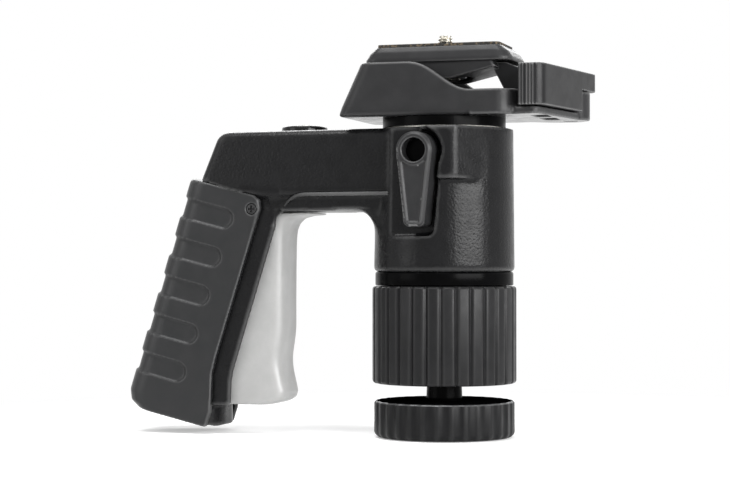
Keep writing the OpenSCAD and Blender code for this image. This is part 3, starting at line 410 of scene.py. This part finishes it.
def tidy(piece: bpy.types.Object, smooth_deg: float = SHADE_DEG) -> None:
    """Merges doubles, points the faces outwards and smooths all but the sharp edges.

    Args:
        piece: Object to tidy.
        smooth_deg: Edges sharper than this stay sharp.
    """
    edit_all(piece)
    bpy.ops.mesh.remove_doubles(threshold=DOUBLES_MM * MM)
    bpy.ops.mesh.normals_make_consistent(inside=False)
    bpy.ops.object.mode_set(mode="OBJECT")
    bpy.ops.object.shade_smooth_by_angle(angle=math.radians(smooth_deg))


def apply(piece: bpy.types.Object, kind: str, **settings: Any) -> None:
    """Adds a modifier and applies it.

    Args:
        piece: Object to change.
        kind: Blender's type name of the modifier.
        **settings: Attributes of the modifier.
    """
    take(piece)
    change = piece.modifiers.new(kind.lower(), kind)
    for key, value in settings.items():
        setattr(change, key, value)
    bpy.ops.object.modifier_apply(modifier=change.name)


def within(value: float, middle_mm: float, reach_mm: float) -> bool:
    """Says whether a length in metres lies within a reach of a middle, both in millimetres."""
    return abs(value - middle_mm * MM) < reach_mm * MM


def pick(piece: bpy.types.Object, test: Callable[[Vector], bool]) -> None:
    """Selects the vertices that pass a test and stays in edit mode.

    Args:
        piece: Object to edit.
        test: Says whether a vertex at a place in metres is wanted.
    """
    take(piece)
    bpy.ops.object.mode_set(mode="EDIT")
    bpy.ops.mesh.select_mode(type="VERT")
    bpy.ops.mesh.select_all(action="DESELECT")
    bpy.ops.object.mode_set(mode="OBJECT")
    for vertex in piece.data.vertices:
        vertex.select = test(vertex.co)
    bpy.ops.object.mode_set(mode="EDIT")


def line(name: str, points: Sequence[Point]) -> bpy.types.Object:
    """Draws a chain of edges in the XZ plane, left in edit mode.

    Args:
        name: Name of the new object.
        points: Distance from the Z axis and height of each point, in millimetres.

    Returns:
        The new object.
    """
    deselect()
    bpy.ops.mesh.primitive_plane_add(size=2 * MM)
    piece = bpy.context.object
    piece.name = name
    bpy.ops.object.mode_set(mode="EDIT")
    bpy.ops.mesh.select_all(action="SELECT")
    bpy.ops.mesh.merge(type="CENTER")
    bpy.ops.transform.translate(value=(points[0][0] * MM, 0, points[0][1] * MM))
    for (r0, z0), (r1, z1) in zip(points, points[1:]):
        bpy.ops.mesh.extrude_vertices_move(
            TRANSFORM_OT_translate={"value": ((r1 - r0) * MM, 0, (z1 - z0) * MM)})
    return piece


def lathe(name: str, profile: Sequence[Point], steps: int,
          smooth_deg: float = SHADE_DEG) -> bpy.types.Object:
    """Spins a profile round the Z axis, as on a lathe.

    Args:
        name: Name of the new object.
        profile: Radius and height of each point, in millimetres.
        steps: Columns round the turn.
        smooth_deg: Edges sharper than this stay sharp.

    Returns:
        The turned piece.
    """
    piece = line(name, profile)
    bpy.ops.mesh.select_all(action="SELECT")
    bpy.ops.mesh.spin(steps=steps, angle=2 * math.pi, center=(0, 0, 0), axis=(0, 0, 1))
    tidy(piece, smooth_deg)
    return piece


def arc(centre: Point, radius: float, start: float, end: float, count: int = 6) -> list[Point]:
    """Gives points on an arc for a profile.

    Args:
        centre: Centre of the arc, in millimetres.
        radius: Radius in millimetres.
        start: First angle in degrees, from the radius outwards towards up.
        end: Last angle in degrees.
        count: Number of steps.

    Returns:
        The points, both ends among them.
    """
    angles = [math.radians(start + (end - start) * i / count) for i in range(count + 1)]
    return [(centre[0] + radius * math.cos(a), centre[1] + radius * math.sin(a)) for a in angles]


def flute(piece: bpy.types.Object, count: int, columns: int, depths: Sequence[float],
          radius: float, limit: float) -> None:
    """Presses flutes into the wall of a turned piece.

    Args:
        piece: Turned piece with count times columns steps.
        count: Number of flutes.
        columns: Columns of each flute and its land.
        depths: Depth at the flute's middle column, then at each column beside it, in millimetres.
        radius: Radius of the wall in millimetres.
        limit: Only what lies outside this radius moves, in millimetres.
    """
    def column(place: Vector) -> int:
        """Counts the columns from a place to the middle of its flute."""
        turn = math.atan2(place.y, place.x) / (2 * math.pi) * count * columns
        return abs(round(turn) % columns - columns // 2)

    for i, depth in enumerate(depths):
        pick(piece, lambda co: math.hypot(co.x, co.y) > limit * MM and column(co) == i)
        scale = (radius - depth) / radius
        bpy.ops.transform.resize(value=(scale, scale, 1), center_override=(0, 0, 0))
    tidy(piece, 35.0)


def ridge(name: str, root: float, crest: float, pitch: float, turns: int,
          low: float) -> bpy.types.Object:
    """Winds a screw thread round the Z axis.

    Args:
        name: Name of the new object.
        root: Radius of the thread's foot in millimetres.
        crest: Radius of its edge in millimetres.
        pitch: Rise of one turn in millimetres.
        turns: Number of turns.
        low: Height at which it starts, in millimetres.

    Returns:
        The thread.
    """
    piece = line(name, [(root, low), (crest, low + pitch * 0.4), (crest, low + pitch * 0.5),
                        (root, low + pitch * 0.9)])
    bpy.ops.mesh.select_all(action="SELECT")
    bpy.ops.mesh.edge_face_add()
    bpy.ops.mesh.delete(type="ONLY_FACE")
    bpy.ops.object.mode_set(mode="OBJECT")
    apply(piece, "SCREW", angle=2 * math.pi, screw_offset=pitch * MM, iterations=turns,
          steps=40, render_steps=40, axis="Z")
    bpy.ops.object.mode_set(mode="EDIT")
    bpy.ops.mesh.select_all(action="SELECT")
    bpy.ops.mesh.fill_holes(sides=4)
    tidy(piece, MACHINED_DEG)
    return piece


def shift(piece: bpy.types.Object, x: float = 0.0, y: float = 0.0, z: float = 0.0) -> None:
    """Moves a piece's mesh by millimetres, its origin staying where it is."""
    edit_all(piece)
    bpy.ops.transform.translate(value=(x * MM, y * MM, z * MM))
    bpy.ops.object.mode_set(mode="OBJECT")


def skin_of(node: str, smooth_deg: float = SHADE_DEG) -> bpy.types.Object:
    """Copies a CAD node as one merged mesh.

    Args:
        node: Name of the CAD node.
        smooth_deg: Edges sharper than this stay sharp.

    Returns:
        The new piece.
    """
    piece = twin(node + "_skin", frame["nodes"][node])
    piece.data.materials.clear()
    tidy(piece, smooth_deg)
    return piece


def soften(piece: bpy.types.Object, grid_mm: float, rounds: int) -> bpy.types.Object:
    """Gives a piece the soft edges that a mould leaves.

    Args:
        piece: Closed mesh.
        grid_mm: Size of the new faces.
        rounds: How often the new faces are relaxed.

    Returns:
        The same piece.
    """
    apply(piece, "REMESH", mode="VOXEL", voxel_size=grid_mm * MM, adaptivity=0.0,
          use_smooth_shade=True)
    apply(piece, "SMOOTH", factor=RELAX, iterations=rounds)
    return piece


def moulded(node: str, grid_mm: float, rounds: int) -> bpy.types.Object:
    """Copies a CAD node and softens its edges, with the arguments of soften()."""
    return soften(skin_of(node), grid_mm, rounds)


def relax(piece: bpy.types.Object, test: Callable[[Vector], bool], rounds: int) -> None:
    """Smooths part of a piece by hand.

    Args:
        piece: Object to edit.
        test: Says whether a vertex at a place in metres is smoothed.
        rounds: How often.
    """
    pick(piece, test)
    bpy.ops.mesh.vertices_smooth(factor=RELAX, repeat=rounds)
    bpy.ops.object.mode_set(mode="OBJECT")


def machined(node: str, smooth_deg: float = MACHINED_DEG) -> bpy.types.Object:
    """Copies a CAD node with its large faces kept flat to the eye.

    Args:
        node: Name of the CAD node.
        smooth_deg: Edges sharper than this stay sharp.

    Returns:
        The new piece.
    """
    piece = skin_of(node, smooth_deg)
    apply(piece, "WEIGHTED_NORMAL", keep_sharp=True, weight=80)
    return piece


def dress(piece: bpy.types.Object, finish: Finish) -> None:
    """Gives a piece its finish in every slot."""
    material = finish.material()
    if not piece.data.materials:
        piece.data.materials.append(material)
    for i in range(len(piece.data.materials)):
        piece.data.materials[i] = material


def paint_faces(piece: bpy.types.Object, finish: Finish, low: float, high: float) -> None:
    """Gives some faces a finish of their own.

    Args:
        piece: Dressed piece.
        finish: Finish of those faces.
        low: Least height of their normals, from -1 for straight down.
        high: Greatest height of their normals, up to 1 for straight up.
    """
    piece.data.materials.append(finish.material())
    for face in piece.data.polygons:
        if low <= face.normal.z <= high:
            face.material_index = len(piece.data.materials) - 1


def place(piece: bpy.types.Object, node: str, finish: Finish, instead: bool = True) -> None:
    """Dresses a new piece and lets it ride on a node's body.

    Args:
        piece: The new piece.
        node: CAD node whose body it rides on.
        finish: Its finish.
        instead: Whether it stands for the node.
    """
    dress(piece, finish)
    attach(piece, frame["nodes"][node]["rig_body"])
    if instead:
        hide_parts(node)
    LOG.info("%s: %s, %d faces", node, piece.name, len(piece.data.polygons))


@dataclass
class Assembly:
    """A sub-assembly, with the CAD nodes that keep their own shape.

    Attributes:
        plain: CAD nodes that only get a finish.
    """

    plain: dict[str, Finish] = field(default_factory=dict)

    def build(self) -> None:
        """Models the pieces and dresses the rest."""
        self.model()
        for node, finish in self.plain.items():
            dress(frame["nodes"][node], finish)
            LOG.info("%s: own shape", node)

    def model(self) -> None:
        """Models the pieces that need more than the CAD node."""


@dataclass
class BaseFoot(Assembly):
    """Scalloped base with its tripod thread, and the post with the ball."""

    radius: float = 30.0
    height: float = 15.5
    foot_r: float = 2.6
    crown: float = 1.1
    bore: float = 7.34
    bush_bore: float = 8.04
    bush_h: float = 11.0
    scallops: int = 31
    scallop_steps: int = 10
    scallop_depths: tuple[float, ...] = (0.6, 0.56, 0.45, 0.25, 0.03)
    scallop_wall: float = 1.2
    top_slope: float = 0.97
    rim_slope: float = 0.35
    thread_r: float = 4.76
    thread_root: float = 0.05
    thread_h: float = 0.75
    thread_pitch: float = 1.5875
    thread_turns: int = 6
    thread_z: float = 0.4

    def model(self) -> None:
        """Turns the base, presses its scallops and winds the thread in the bush."""
        outer = arc((self.radius - self.foot_r, self.foot_r), self.foot_r, -90, 0)
        rim = arc((self.radius - self.crown, self.height - self.crown), self.crown, 0, 90, 4)
        disc = lathe("scalloped_base", [
            (self.bush_bore, 0.0), *outer, (self.radius, self.height * 0.5), *rim,
            (self.bore, self.height), (self.bore, self.bush_h), (self.bush_bore, self.bush_h),
            (self.bush_bore, 0.0)], self.scallops * self.scallop_steps)
        flute(disc, self.scallops, self.scallop_steps, self.scallop_depths, self.radius,
              self.radius - self.scallop_wall)
        place(disc, "base_disc", RUBBED)
        paint_faces(disc, BLASTED, self.top_slope, STRAIGHT)
        # The rim's upward-sloping faces get a bright grey: painted highlight.
        paint_faces(disc, RIM_HIGHLIGHT, self.rim_slope, self.top_slope)
        thread = ridge("tripod_thread", self.thread_r + self.thread_root, self.thread_r - self.thread_h,
                       self.thread_pitch, self.thread_turns, self.thread_z)
        place(thread, "thread_insert", BRASS, False)
        place(machined("ball_stud"), "ball_stud", ANODISED)


@dataclass
class DragRing(Assembly):
    """Fluted ring that sets the drag, and the sleeve it screws onto."""

    radius: float = 30.75
    low: float = 23.0
    high: float = 64.3
    edge: float = 1.4
    flutes: int = 30
    flute_steps: int = 16
    flute_depths: tuple[float, ...] = (0.9, 0.72, 0.3, 0.05)
    flute_wall: float = 1.0
    opening: float = 14.0
    ball_z: float = 42.0
    pocket: float = 22.05
    floor_z: float = 40.0
    bore: float = 25.85
    collar_r: float = 29.5
    collar_z: float = 64.6
    collar_foot: float = 0.5
    collar_edge: float = 0.9
    barrel_z: float = 70.4
    sleeve_bore: float = 22.8
    sleeve_r: float = 25.8
    sleeve_low: float = 40.3
    sleeve_top: float = 79.4
    sleeve_steps: int = 160
    chamfer: float = 0.3
    neck_r: float = 27.0
    coil_deg: float = 60.0
    piston_lift: float = 1.06

    def model(self) -> None:
        """Turns the ring and the sleeve."""
        start = -math.degrees(math.acos(self.opening / self.pocket))
        end = -math.degrees(math.asin((self.ball_z - self.floor_z) / self.pocket))
        hollow = arc((0.0, self.ball_z), self.pocket, start, end, 10)
        wall = self.radius - self.edge
        ring = lathe("fluted_ring", [
            (self.opening, self.low), *arc((wall, self.low + self.edge), self.edge, -90, 0, 4),
            *arc((wall, self.high - self.edge), self.edge, 0, 90, 4), (self.bore, self.high),
            (self.bore, self.floor_z), *reversed(hollow), (self.opening, self.low)],
            self.flutes * self.flute_steps)
        flute(ring, self.flutes, self.flute_steps, self.flute_depths, self.radius,
              self.radius - self.flute_wall)
        place(ring, "friction_ring", RING)
        foot = (self.collar_r - self.collar_foot, self.collar_z + self.collar_foot)
        crown = (self.collar_r - self.collar_edge, self.barrel_z - self.collar_edge)
        sleeve = lathe("threaded_sleeve", [
            (self.sleeve_bore, self.sleeve_low), (self.sleeve_r - self.chamfer, self.sleeve_low),
            (self.sleeve_r, self.sleeve_low + self.chamfer), (self.sleeve_r, self.collar_z),
            *arc(foot, self.collar_foot, -90, 0, 3), *arc(crown, self.collar_edge, 0, 90, 4),
            (self.neck_r, self.barrel_z), (self.neck_r, self.sleeve_top),
            (self.sleeve_bore, self.sleeve_top), (self.sleeve_bore, self.sleeve_low)], self.sleeve_steps)
        place(sleeve, "thread_sleeve", ANODISED)
        self.spring()

    def spring(self) -> None:
        """Copies the main spring and gives the copy a mesh of its own."""
        coil = skin_of("main_spring", self.coil_deg)
        place(coil, "main_spring", STEEL)
        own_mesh(coil)


@dataclass
class BodyCasting(Assembly):
    """Barrel, arm and handle in one casting, with the rubber grip and its screws."""

    grid: float = 0.85
    rounds: int = 2
    cover_grid: float = 0.56
    cover_rounds: int = 4
    bend_x: float = -77.0
    bend_y: float = 11.0
    bend_z: float = 100.0
    bend_r: float = 9.0
    bend_rounds: int = 20
    root_x: float = -31.0
    root_w: float = 13.0
    root_r: float = 27.5
    root_z: float = 88.2
    root_rounds: int = 70
    band_line: tuple[Point, ...] = (
        (-78.0, 96.0), (-98.0, 33.0), (-99.7, 26.0), (-100.5, 9.5), (-104.0, -1.0))
    band_front: float = -60.0
    trim_w: float = 80.0
    bead_r: float = 0.85
    bead_sides: int = 14
    bead_start: float = -18.0
    bead_bend: Point = (-56.0, 89.0)
    bead_bend_r: float = 14.4
    bead_turn: Point = (90.0, 150.0)
    bead_steps: int = 6
    bead_ease: float = 1.6
    bead_y: Place = (-23.2, -20.6, -14.4)
    bead_deg: float = 50.0
    screw_crown: tuple[Point, ...] = ((0.0, 0.02), (1.5, 0.05), (2.05, 0.18))
    screw_r: float = 2.35
    screw_rim: float = 0.6
    screw_h: float = 1.5
    screw_steps: int = 32
    shank_r: float = 1.4
    shank_l: float = 5.5
    slot_w: float = 0.75
    slot_l: float = 2.9
    slot_h: float = 2.0

    def model(self) -> None:
        """Skins the casting, moulds the grip and cuts the screws' cross recesses."""
        casting = moulded("body_casting", self.grid, self.rounds)
        relax(casting, self.at_bend, self.bend_rounds)
        relax(casting, self.at_root, self.root_rounds)
        place(casting, "body_casting", CASTING)
        place(soften(self.trimmed_cover(), self.cover_grid, self.cover_rounds), "grip_cover", RUBBER)
        self.bead()
        self.screws()

    def at_bend(self, co: Vector) -> bool:
        """Says whether a place is on a side of the bend between arm and handle."""
        return (within(co.x, self.bend_x, self.bend_r) and within(co.z, self.bend_z, self.bend_r)
                and abs(co.y) > self.bend_y * MM)

    def at_root(self, co: Vector) -> bool:
        """Says whether a place is where the arm's underside meets the barrel, below the wedge's channel."""
        return (within(co.x, self.root_x, self.root_w) and within(co.z, self.root_z, self.bend_r)
                and math.hypot(co.x, co.y) > self.root_r * MM)

    def trimmed_cover(self) -> bpy.types.Object:
        """Returns the grip cover, cut along the bent line where the casting's band starts."""
        cover = skin_of("grip_cover")
        top, foot = self.band_line[0][1], self.band_line[-1][1]
        cutter = line("cover_trim", [*self.band_line, (self.band_front, foot), (self.band_front, top)])
        bpy.ops.mesh.select_all(action="SELECT")
        bpy.ops.mesh.edge_face_add()
        bpy.ops.mesh.extrude_region_move(TRANSFORM_OT_translate={"value": (0, self.trim_w * MM, 0)})
        tidy(cutter)
        shift(cutter, y=-self.trim_w / 2)
        apply(cover, "BOOLEAN", operation="DIFFERENCE", object=cutter, solver="EXACT")
        bpy.data.objects.remove(cutter)
        return cover

    def bead(self) -> None:
        """Draws the cast bead along one lower border of the arm and copies it to the other side."""
        begin, bend, end = self.bead_y
        curve = arc(self.bead_bend, self.bead_bend_r, *self.bead_turn, self.bead_steps)
        path = [(self.bead_start, begin, curve[0][1])]
        path += [(x, bend + (end - bend) * (i / self.bead_steps) ** self.bead_ease, z)
                 for i, (x, z) in enumerate(curve)]
        deselect()
        bpy.ops.mesh.primitive_circle_add(
            vertices=self.bead_sides, radius=self.bead_r * MM, fill_type="NGON",
            location=Vector(path[0]) * MM, rotation=(0, math.pi / 2, 0))
        near = bpy.context.object
        near.name = "arm_bead"
        bpy.ops.object.transform_apply(location=True, rotation=True, scale=True)
        bpy.ops.object.mode_set(mode="EDIT")
        bpy.ops.mesh.select_all(action="SELECT")
        for here, there in zip(path, path[1:]):
            step = (Vector(there) - Vector(here)) * MM
            bpy.ops.mesh.extrude_region_move(TRANSFORM_OT_translate={"value": tuple(step)})
        tidy(near, self.bead_deg)
        far = twin("arm_bead_far", near)
        edit_all(far)
        bpy.ops.transform.mirror(constraint_axis=(False, True, False), center_override=(0, 0, 0))
        tidy(far, self.bead_deg)
        for piece in (near, far):
            place(piece, "body_casting", CASTING, False)

    def screws(self) -> None:
        """Turns one screw, cuts its cross recess and sets a copy at each side."""
        marks = [vertex.co for vertex in frame["nodes"]["cover_screws"].data.vertices]
        near = [co for co in marks if co.y < 0]
        x = (min(co.x for co in near) + max(co.x for co in near)) / 2
        y = min(co.y for co in near)
        z = (min(co.z for co in near) + max(co.z for co in near)) / 2
        screw = lathe("cover_screw", [
            *self.screw_crown, (self.screw_r, self.screw_rim), (self.screw_r, self.screw_h),
            (self.shank_r, self.screw_h), (self.shank_r, self.shank_l), (0.0, self.shank_l)],
            self.screw_steps)
        for turn in (0.0, math.pi / 2):
            deselect()
            bpy.ops.mesh.primitive_cube_add(size=MM, rotation=(0, 0, turn))
            bar = bpy.context.object
            bar.scale = (self.slot_l, self.slot_w, self.slot_h)
            bpy.ops.object.transform_apply(location=True, rotation=True, scale=True)
            apply(screw, "BOOLEAN", operation="DIFFERENCE", object=bar, solver="EXACT")
            bpy.data.objects.remove(bar)
        other = twin("cover_screw_far", screw)
        for piece, side in ((screw, 1), (other, -1)):
            edit_all(piece)
            bpy.ops.transform.rotate(value=math.radians(90 * side), orient_axis="X",
                                     center_override=(0, 0, 0))
            bpy.ops.transform.translate(value=(x, y * side, z))
        take(screw)
        other.select_set(True)
        bpy.ops.object.join()
        tidy(screw)
        place(screw, "cover_screws", BLACK_STEEL)


@dataclass
class SqueezeTrigger(Assembly):
    """Pale squeeze lever in front of the handle."""

    grid: float = 0.55
    rounds: int = 4
    waist_z: float = 31.0
    waist: float = 1.9
    reach: float = 16.0
    row_h: float = 0.5
    front_w: float = 2.5

    def model(self) -> None:
        """Moulds the lever with soft edges and draws its front in above the lip at its foot."""
        lever = moulded("trigger", self.grid, self.rounds)
        front = max(vertex.co.x for vertex in lever.data.vertices
                    if within(vertex.co.z, self.waist_z, self.row_h))
        pick(lever, lambda co: within(co.z, self.waist_z, self.row_h) and co.x > front - self.front_w * MM)
        bpy.ops.transform.translate(
            value=(-self.waist * MM, 0, 0), use_proportional_edit=True,
            proportional_edit_falloff="SMOOTH", proportional_size=self.reach * MM)
        bpy.ops.object.mode_set(mode="OBJECT")
        place(lever, "trigger", PALE)


@dataclass
class BubbleLevel(Assembly):
    """Round level on the arm: black cup, domed cap, ring mark and bubble."""

    x: float = -63.0
    low: float = 127.0
    top: float = 131.0
    cup_r: float = 10.0
    cup_z: float = 133.85
    bore: float = 7.0
    cap_r: float = 6.96
    cap_z: float = 134.4
    cap_gap: float = 0.05
    dome_r: float = 30.0
    dome_steps: tuple[float, ...] = (5.0, 3.5, 2.0, 0.9, 0.0)
    floor_t: float = 1.0
    chamfer: float = 0.3
    wall_h: float = 1.3
    bend_h: float = 1.5
    shoulder: float = 1.2
    rim_in: float = 2.2
    mark_r: Point = (3.5, 3.8)
    mark_h: Point = (-0.1, 0.02)
    bubble: tuple[Point, ...] = (
        (0.0, -0.25), (2.4, -0.25), (2.5, -0.12), (2.2, -0.03), (1.2, 0.0), (0.0, 0.0))
    bubble_at: Point = (0.5, -0.4)
    steps: int = 96
    smooth_deg: float = 40.0
    bubble_deg: float = 60.0

    def dome(self, radius: float, lift: float = 0.0) -> Point:
        """Gives the profile point on the cap at a radius, lifted by a height."""
        return radius, self.cap_z + lift - self.dome_r + math.sqrt(self.dome_r ** 2 - radius ** 2)

    def model(self) -> None:
        """Turns the cup, the cap, the ring mark and the bubble."""
        floor = self.low + self.floor_t
        cup = lathe("level_cup", [
            (0.0, self.low), (self.cup_r - self.chamfer, self.low), (self.cup_r, self.low + self.chamfer),
            (self.cup_r, self.top + self.wall_h),
            *arc((self.cup_r - self.shoulder, self.top + self.bend_h), self.shoulder, 0, 60, 4),
            (self.cup_r - self.rim_in, self.cup_z), (self.bore + self.chamfer, self.cup_z),
            (self.bore, self.cup_z - self.chamfer), (self.bore, floor), (0.0, floor)],
            self.steps, self.smooth_deg)
        cap = lathe("level_cap", [
            (0.0, floor + self.cap_gap), (self.cap_r, floor + self.cap_gap),
            (self.cap_r, self.cap_z - self.shoulder), self.dome(self.cap_r - self.chamfer),
            *[self.dome(radius) for radius in self.dome_steps]], self.steps, self.smooth_deg)
        (inner, outer), (under, over) = self.mark_r, self.mark_h
        mark = lathe("level_mark", [
            self.dome(inner, under), self.dome(inner, over), self.dome(outer, over),
            self.dome(outer, under), self.dome(inner, under)], 64)
        bubble = lathe("level_bubble", [(radius, self.cap_z + lift) for radius, lift in self.bubble],
                       48, self.bubble_deg)
        shift(bubble, *self.bubble_at)
        for piece, node, finish, instead in (
                (cup, "level_housing", GLOSS, True), (cap, "level_vial", SPIRIT, True),
                (mark, "level_vial", GLOSS, False), (bubble, "level_vial", BUBBLE, False)):
            shift(piece, self.x)
            place(piece, node, finish, instead)


@dataclass
class PanLock(Assembly):
    """Lever on the side of the barrel that locks the turntable."""

    grid: float = 0.3
    rounds: int = 3

    def model(self) -> None:
        """Moulds the lever with soft edges."""
        place(moulded("lock_lever", self.grid, self.rounds), "lock_lever", SATIN)


@dataclass
class Platform(Assembly):
    """Turntable and quick-release clamp with its lever."""

    clamp_grid: float = 0.55
    clamp_rounds: int = 3
    border_h: float = 4.0
    border_in: float = 5.0
    border_rounds: int = 40
    wall_end: float = 18.0
    under_slope: float = -0.95
    lever_grid: float = 0.38
    lever_rounds: int = 1

    def model(self) -> None:
        """Skins the turntable, softens the clamp's cast edges and rounds its lower border."""
        place(machined("turntable"), "turntable", ANODISED)
        clamp = moulded("clamp_base", self.clamp_grid, self.clamp_rounds)
        left, front, low = [min(vertex.co[i] for vertex in clamp.data.vertices) for i in range(3)]
        back = max(vertex.co.y for vertex in clamp.data.vertices if vertex.co.x < 0)

        def on_border(co: Vector) -> bool:
            """Says whether a place is on the lower border, short of the flange."""
            inward = min(co.x - left, co.y - front, back - co.y)
            return (co.z < low + self.border_h * MM and inward < self.border_in * MM
                    and co.x < self.wall_end * MM)

        relax(clamp, on_border, self.border_rounds)
        place(clamp, "clamp_base", SATIN)
        # Downward faces of the clamp are painted paler: painted reflection of the floor, on top of the real
        # mirroring of their gloss.
        paint_faces(clamp, UNDERSIDE, -STRAIGHT, self.under_slope)
        lever = moulded("release_lever", self.lever_grid, self.lever_rounds)
        # The release lever takes the darker copy of the enamel: painted shade.
        place(lever, "release_lever", SHADED_SATIN)


@dataclass
class CameraPlate(Assembly):
    """Camera plate with its pad and screw."""

    grid: float = 0.42
    rounds: int = 3
    x: float = 0.6
    thread_z: float = 167.0
    thread_r: float = 3.175
    thread_h: float = 0.65
    thread_gap: float = 0.05
    thread_turns: int = 2
    pitch: float = 1.27
    shank_share: float = 0.83
    ring_deg: float = 40.0

    def model(self) -> None:
        """Softens the plate, thins the screw's shank and winds its thread."""
        place(moulded("quick_plate", self.grid, self.rounds), "quick_plate", SATIN)
        screw = machined("camera_screw")
        pick(screw, lambda co: co.z > (self.thread_z - self.thread_gap) * MM)
        bpy.ops.transform.resize(value=(self.shank_share, self.shank_share, 1),
                                 center_override=(self.x * MM, 0, 0))
        tidy(screw, MACHINED_DEG)
        place(screw, "camera_screw", BRASS)
        thread = ridge("camera_thread", self.thread_r - self.thread_h, self.thread_r, self.pitch,
                       self.thread_turns, self.thread_z + self.thread_gap)
        shift(thread, self.x)
        place(thread, "camera_screw", BRASS, False)
        place(machined("screw_ring", self.ring_deg), "screw_ring", STEEL)
        place(machined("plate_pad"), "plate_pad", CORK)


@dataclass(frozen=True)
class SoftBox:
    """A lamp behind a rectangular diffuser.

    Attributes:
        name: Name of the lamp.
        spot: Where it stands, in metres.
        target: What it points at, in metres.
        size: Width and height in metres.
        power: Power in watts.
    """

    name: str
    spot: Place
    target: Place
    size: Point
    power: float

    def hang(self) -> None:
        """Adds the lamp to the scene."""
        data = bpy.data.lights.new(self.name, "AREA")
        data.shape = "RECTANGLE"
        data.size, data.size_y = self.size
        data.energy = self.power
        box = bpy.data.objects.new(self.name, data)
        box.location = self.spot
        box.rotation_euler = (Vector(self.target) - Vector(self.spot)).to_track_quat("-Z", "Y").to_euler()
        bpy.context.scene.collection.objects.link(box)


LAMPS = (
    SoftBox("key_right", (0.76, -0.5, 0.27), (0, 0, 0.1), (0.8, 0.4), 12.0),
    SoftBox("fill_left", (-0.8, -0.7, 0.3), (-0.06, 0, 0.07), (0.5, 0.6), 1.9),
    SoftBox("top", (-0.1, -0.2, 0.9), (-0.06, 0, 0.1), (0.6, 0.4), 6.5),
    SoftBox("back", (-0.25, 0.75, 0.6), (-0.04, 0, 0.09), (0.9, 0.4), 6.0),
)


@dataclass
class Studio:
    """White sweep, soft boxes and the camera at the photograph's angle."""

    camera_mm: Place = (214.0, -816.0, 74.1)
    heading_deg: float = 17.0
    pitch_deg: float = 0.67
    focal_px: float = 1970.0
    image_w: int = 730
    sensor_mm: float = 36.0
    clip: Point = (0.05, 20.0)
    sky: float = 0.1
    floor_m: float = 8.0
    floor_drop: float = 0.0002
    floor_glow: float = 0.36
    floor_fade: Point = (0.12, 0.3)

    def camera(self) -> None:
        """Places the camera."""
        data = bpy.data.cameras.new("camera")
        data.sensor_width = self.sensor_mm
        data.lens = self.focal_px * self.sensor_mm / self.image_w
        data.clip_start, data.clip_end = self.clip
        eye = bpy.data.objects.new("camera", data)
        eye.location = Vector(self.camera_mm) * MM
        eye.rotation_euler = (math.radians(90 + self.pitch_deg), 0.0, math.radians(self.heading_deg))
        bpy.context.scene.collection.objects.link(eye)
        bpy.context.scene.camera = eye

    def floor(self) -> None:
        """Lays a white floor that keeps the object's shadow and runs out into plain white."""
        deselect()
        bpy.ops.mesh.primitive_plane_add(size=self.floor_m, location=(0, 0, -self.floor_drop))
        slab = bpy.context.object
        slab.name = "floor"
        made = bpy.data.materials.new("white_card")
        made.use_nodes = True
        tree = made.node_tree
        tree.nodes.remove(tree.nodes["Principled BSDF"])
        matt = add(tree, "ShaderNodeBsdfDiffuse", {"Color": linear("#F4F4F4")})
        glow = add(tree, "ShaderNodeEmission", {"Color": (1, 1, 1, 1), "Strength": self.floor_glow})
        near = add(tree, "ShaderNodeAddShader", {0: matt.outputs[0], 1: glow.outputs[0]})
        far = add(tree, "ShaderNodeEmission", {"Color": (1, 1, 1, 1), "Strength": 1.0})
        spot = add(tree, "ShaderNodeTexCoord").outputs["Object"]
        reach = add(tree, "ShaderNodeVectorMath", {0: spot}, operation="LENGTH")
        fade = add(tree, "ShaderNodeMapRange", {
            "Value": reach.outputs["Value"], "From Min": self.floor_fade[0],
            "From Max": self.floor_fade[1]}, interpolation_type="SMOOTHSTEP")
        card = add(tree, "ShaderNodeMixShader", {
            0: fade.outputs[0], 1: near.outputs[0], 2: far.outputs[0]})
        shown = add(tree, "ShaderNodeMixShader", {
            0: seen_directly(tree), 1: matt.outputs[0], 2: card.outputs[0]})
        tree.links.new(shown.outputs[0], tree.nodes["Material Output"].inputs["Surface"])
        slab.data.materials.append(made)

    def world(self) -> None:
        """Sets a white background with a dimmer sky for lighting."""
        sky = bpy.data.worlds.new("studio")
        bpy.context.scene.world = sky
        sky.use_nodes = True
        tree = sky.node_tree
        back = tree.nodes["Background"]
        level = add(tree, "ShaderNodeMapRange", {
            "Value": seen_directly(tree), "To Min": self.sky, "To Max": 1.0})
        back.inputs["Color"].default_value = (1, 1, 1, 1)
        tree.links.new(level.outputs[0], back.inputs["Strength"])

    def build(self) -> None:
        """Sets up camera, floor, world and lamps."""
        self.camera()
        self.floor()
        self.world()
        for lamp in LAMPS:
            lamp.hang()
        bpy.context.scene.view_settings.view_transform = "Standard"


def sub_assemblies() -> list[Assembly]:
    """Lists the sub-assemblies from the base upwards."""
    return [
        BaseFoot({"thread_insert": BRASS}),
        DragRing({"lower_ball_seat": NYLON, "upper_ball_seat": NYLON, "clamp_piston": STEEL,
                  "lift_block": STEEL, "lift_nut": STEEL, "release_wedge": STEEL}),
        BodyCasting({"trigger_pin": STEEL}),
        SqueezeTrigger(),
        BubbleLevel(),
        PanLock({"lock_screw": ANODISED, "brake_pad": BRASS}),
        Platform({"pan_disc": NYLON, "retaining_washer": STEEL, "turntable_screw": BLACK_STEEL,
                  "base_screws": STEEL, "lever_pin": STEEL, "lever_spring": STEEL}),
        CameraPlate(),
    ]


def main() -> None:
    """Builds the stage and every sub-assembly."""
    logging.basicConfig(level=logging.INFO, format="%(name)s %(message)s")
    Studio().build()
    for assembly in sub_assemblies():
        assembly.build()


if __name__ == "__main__":
    main()
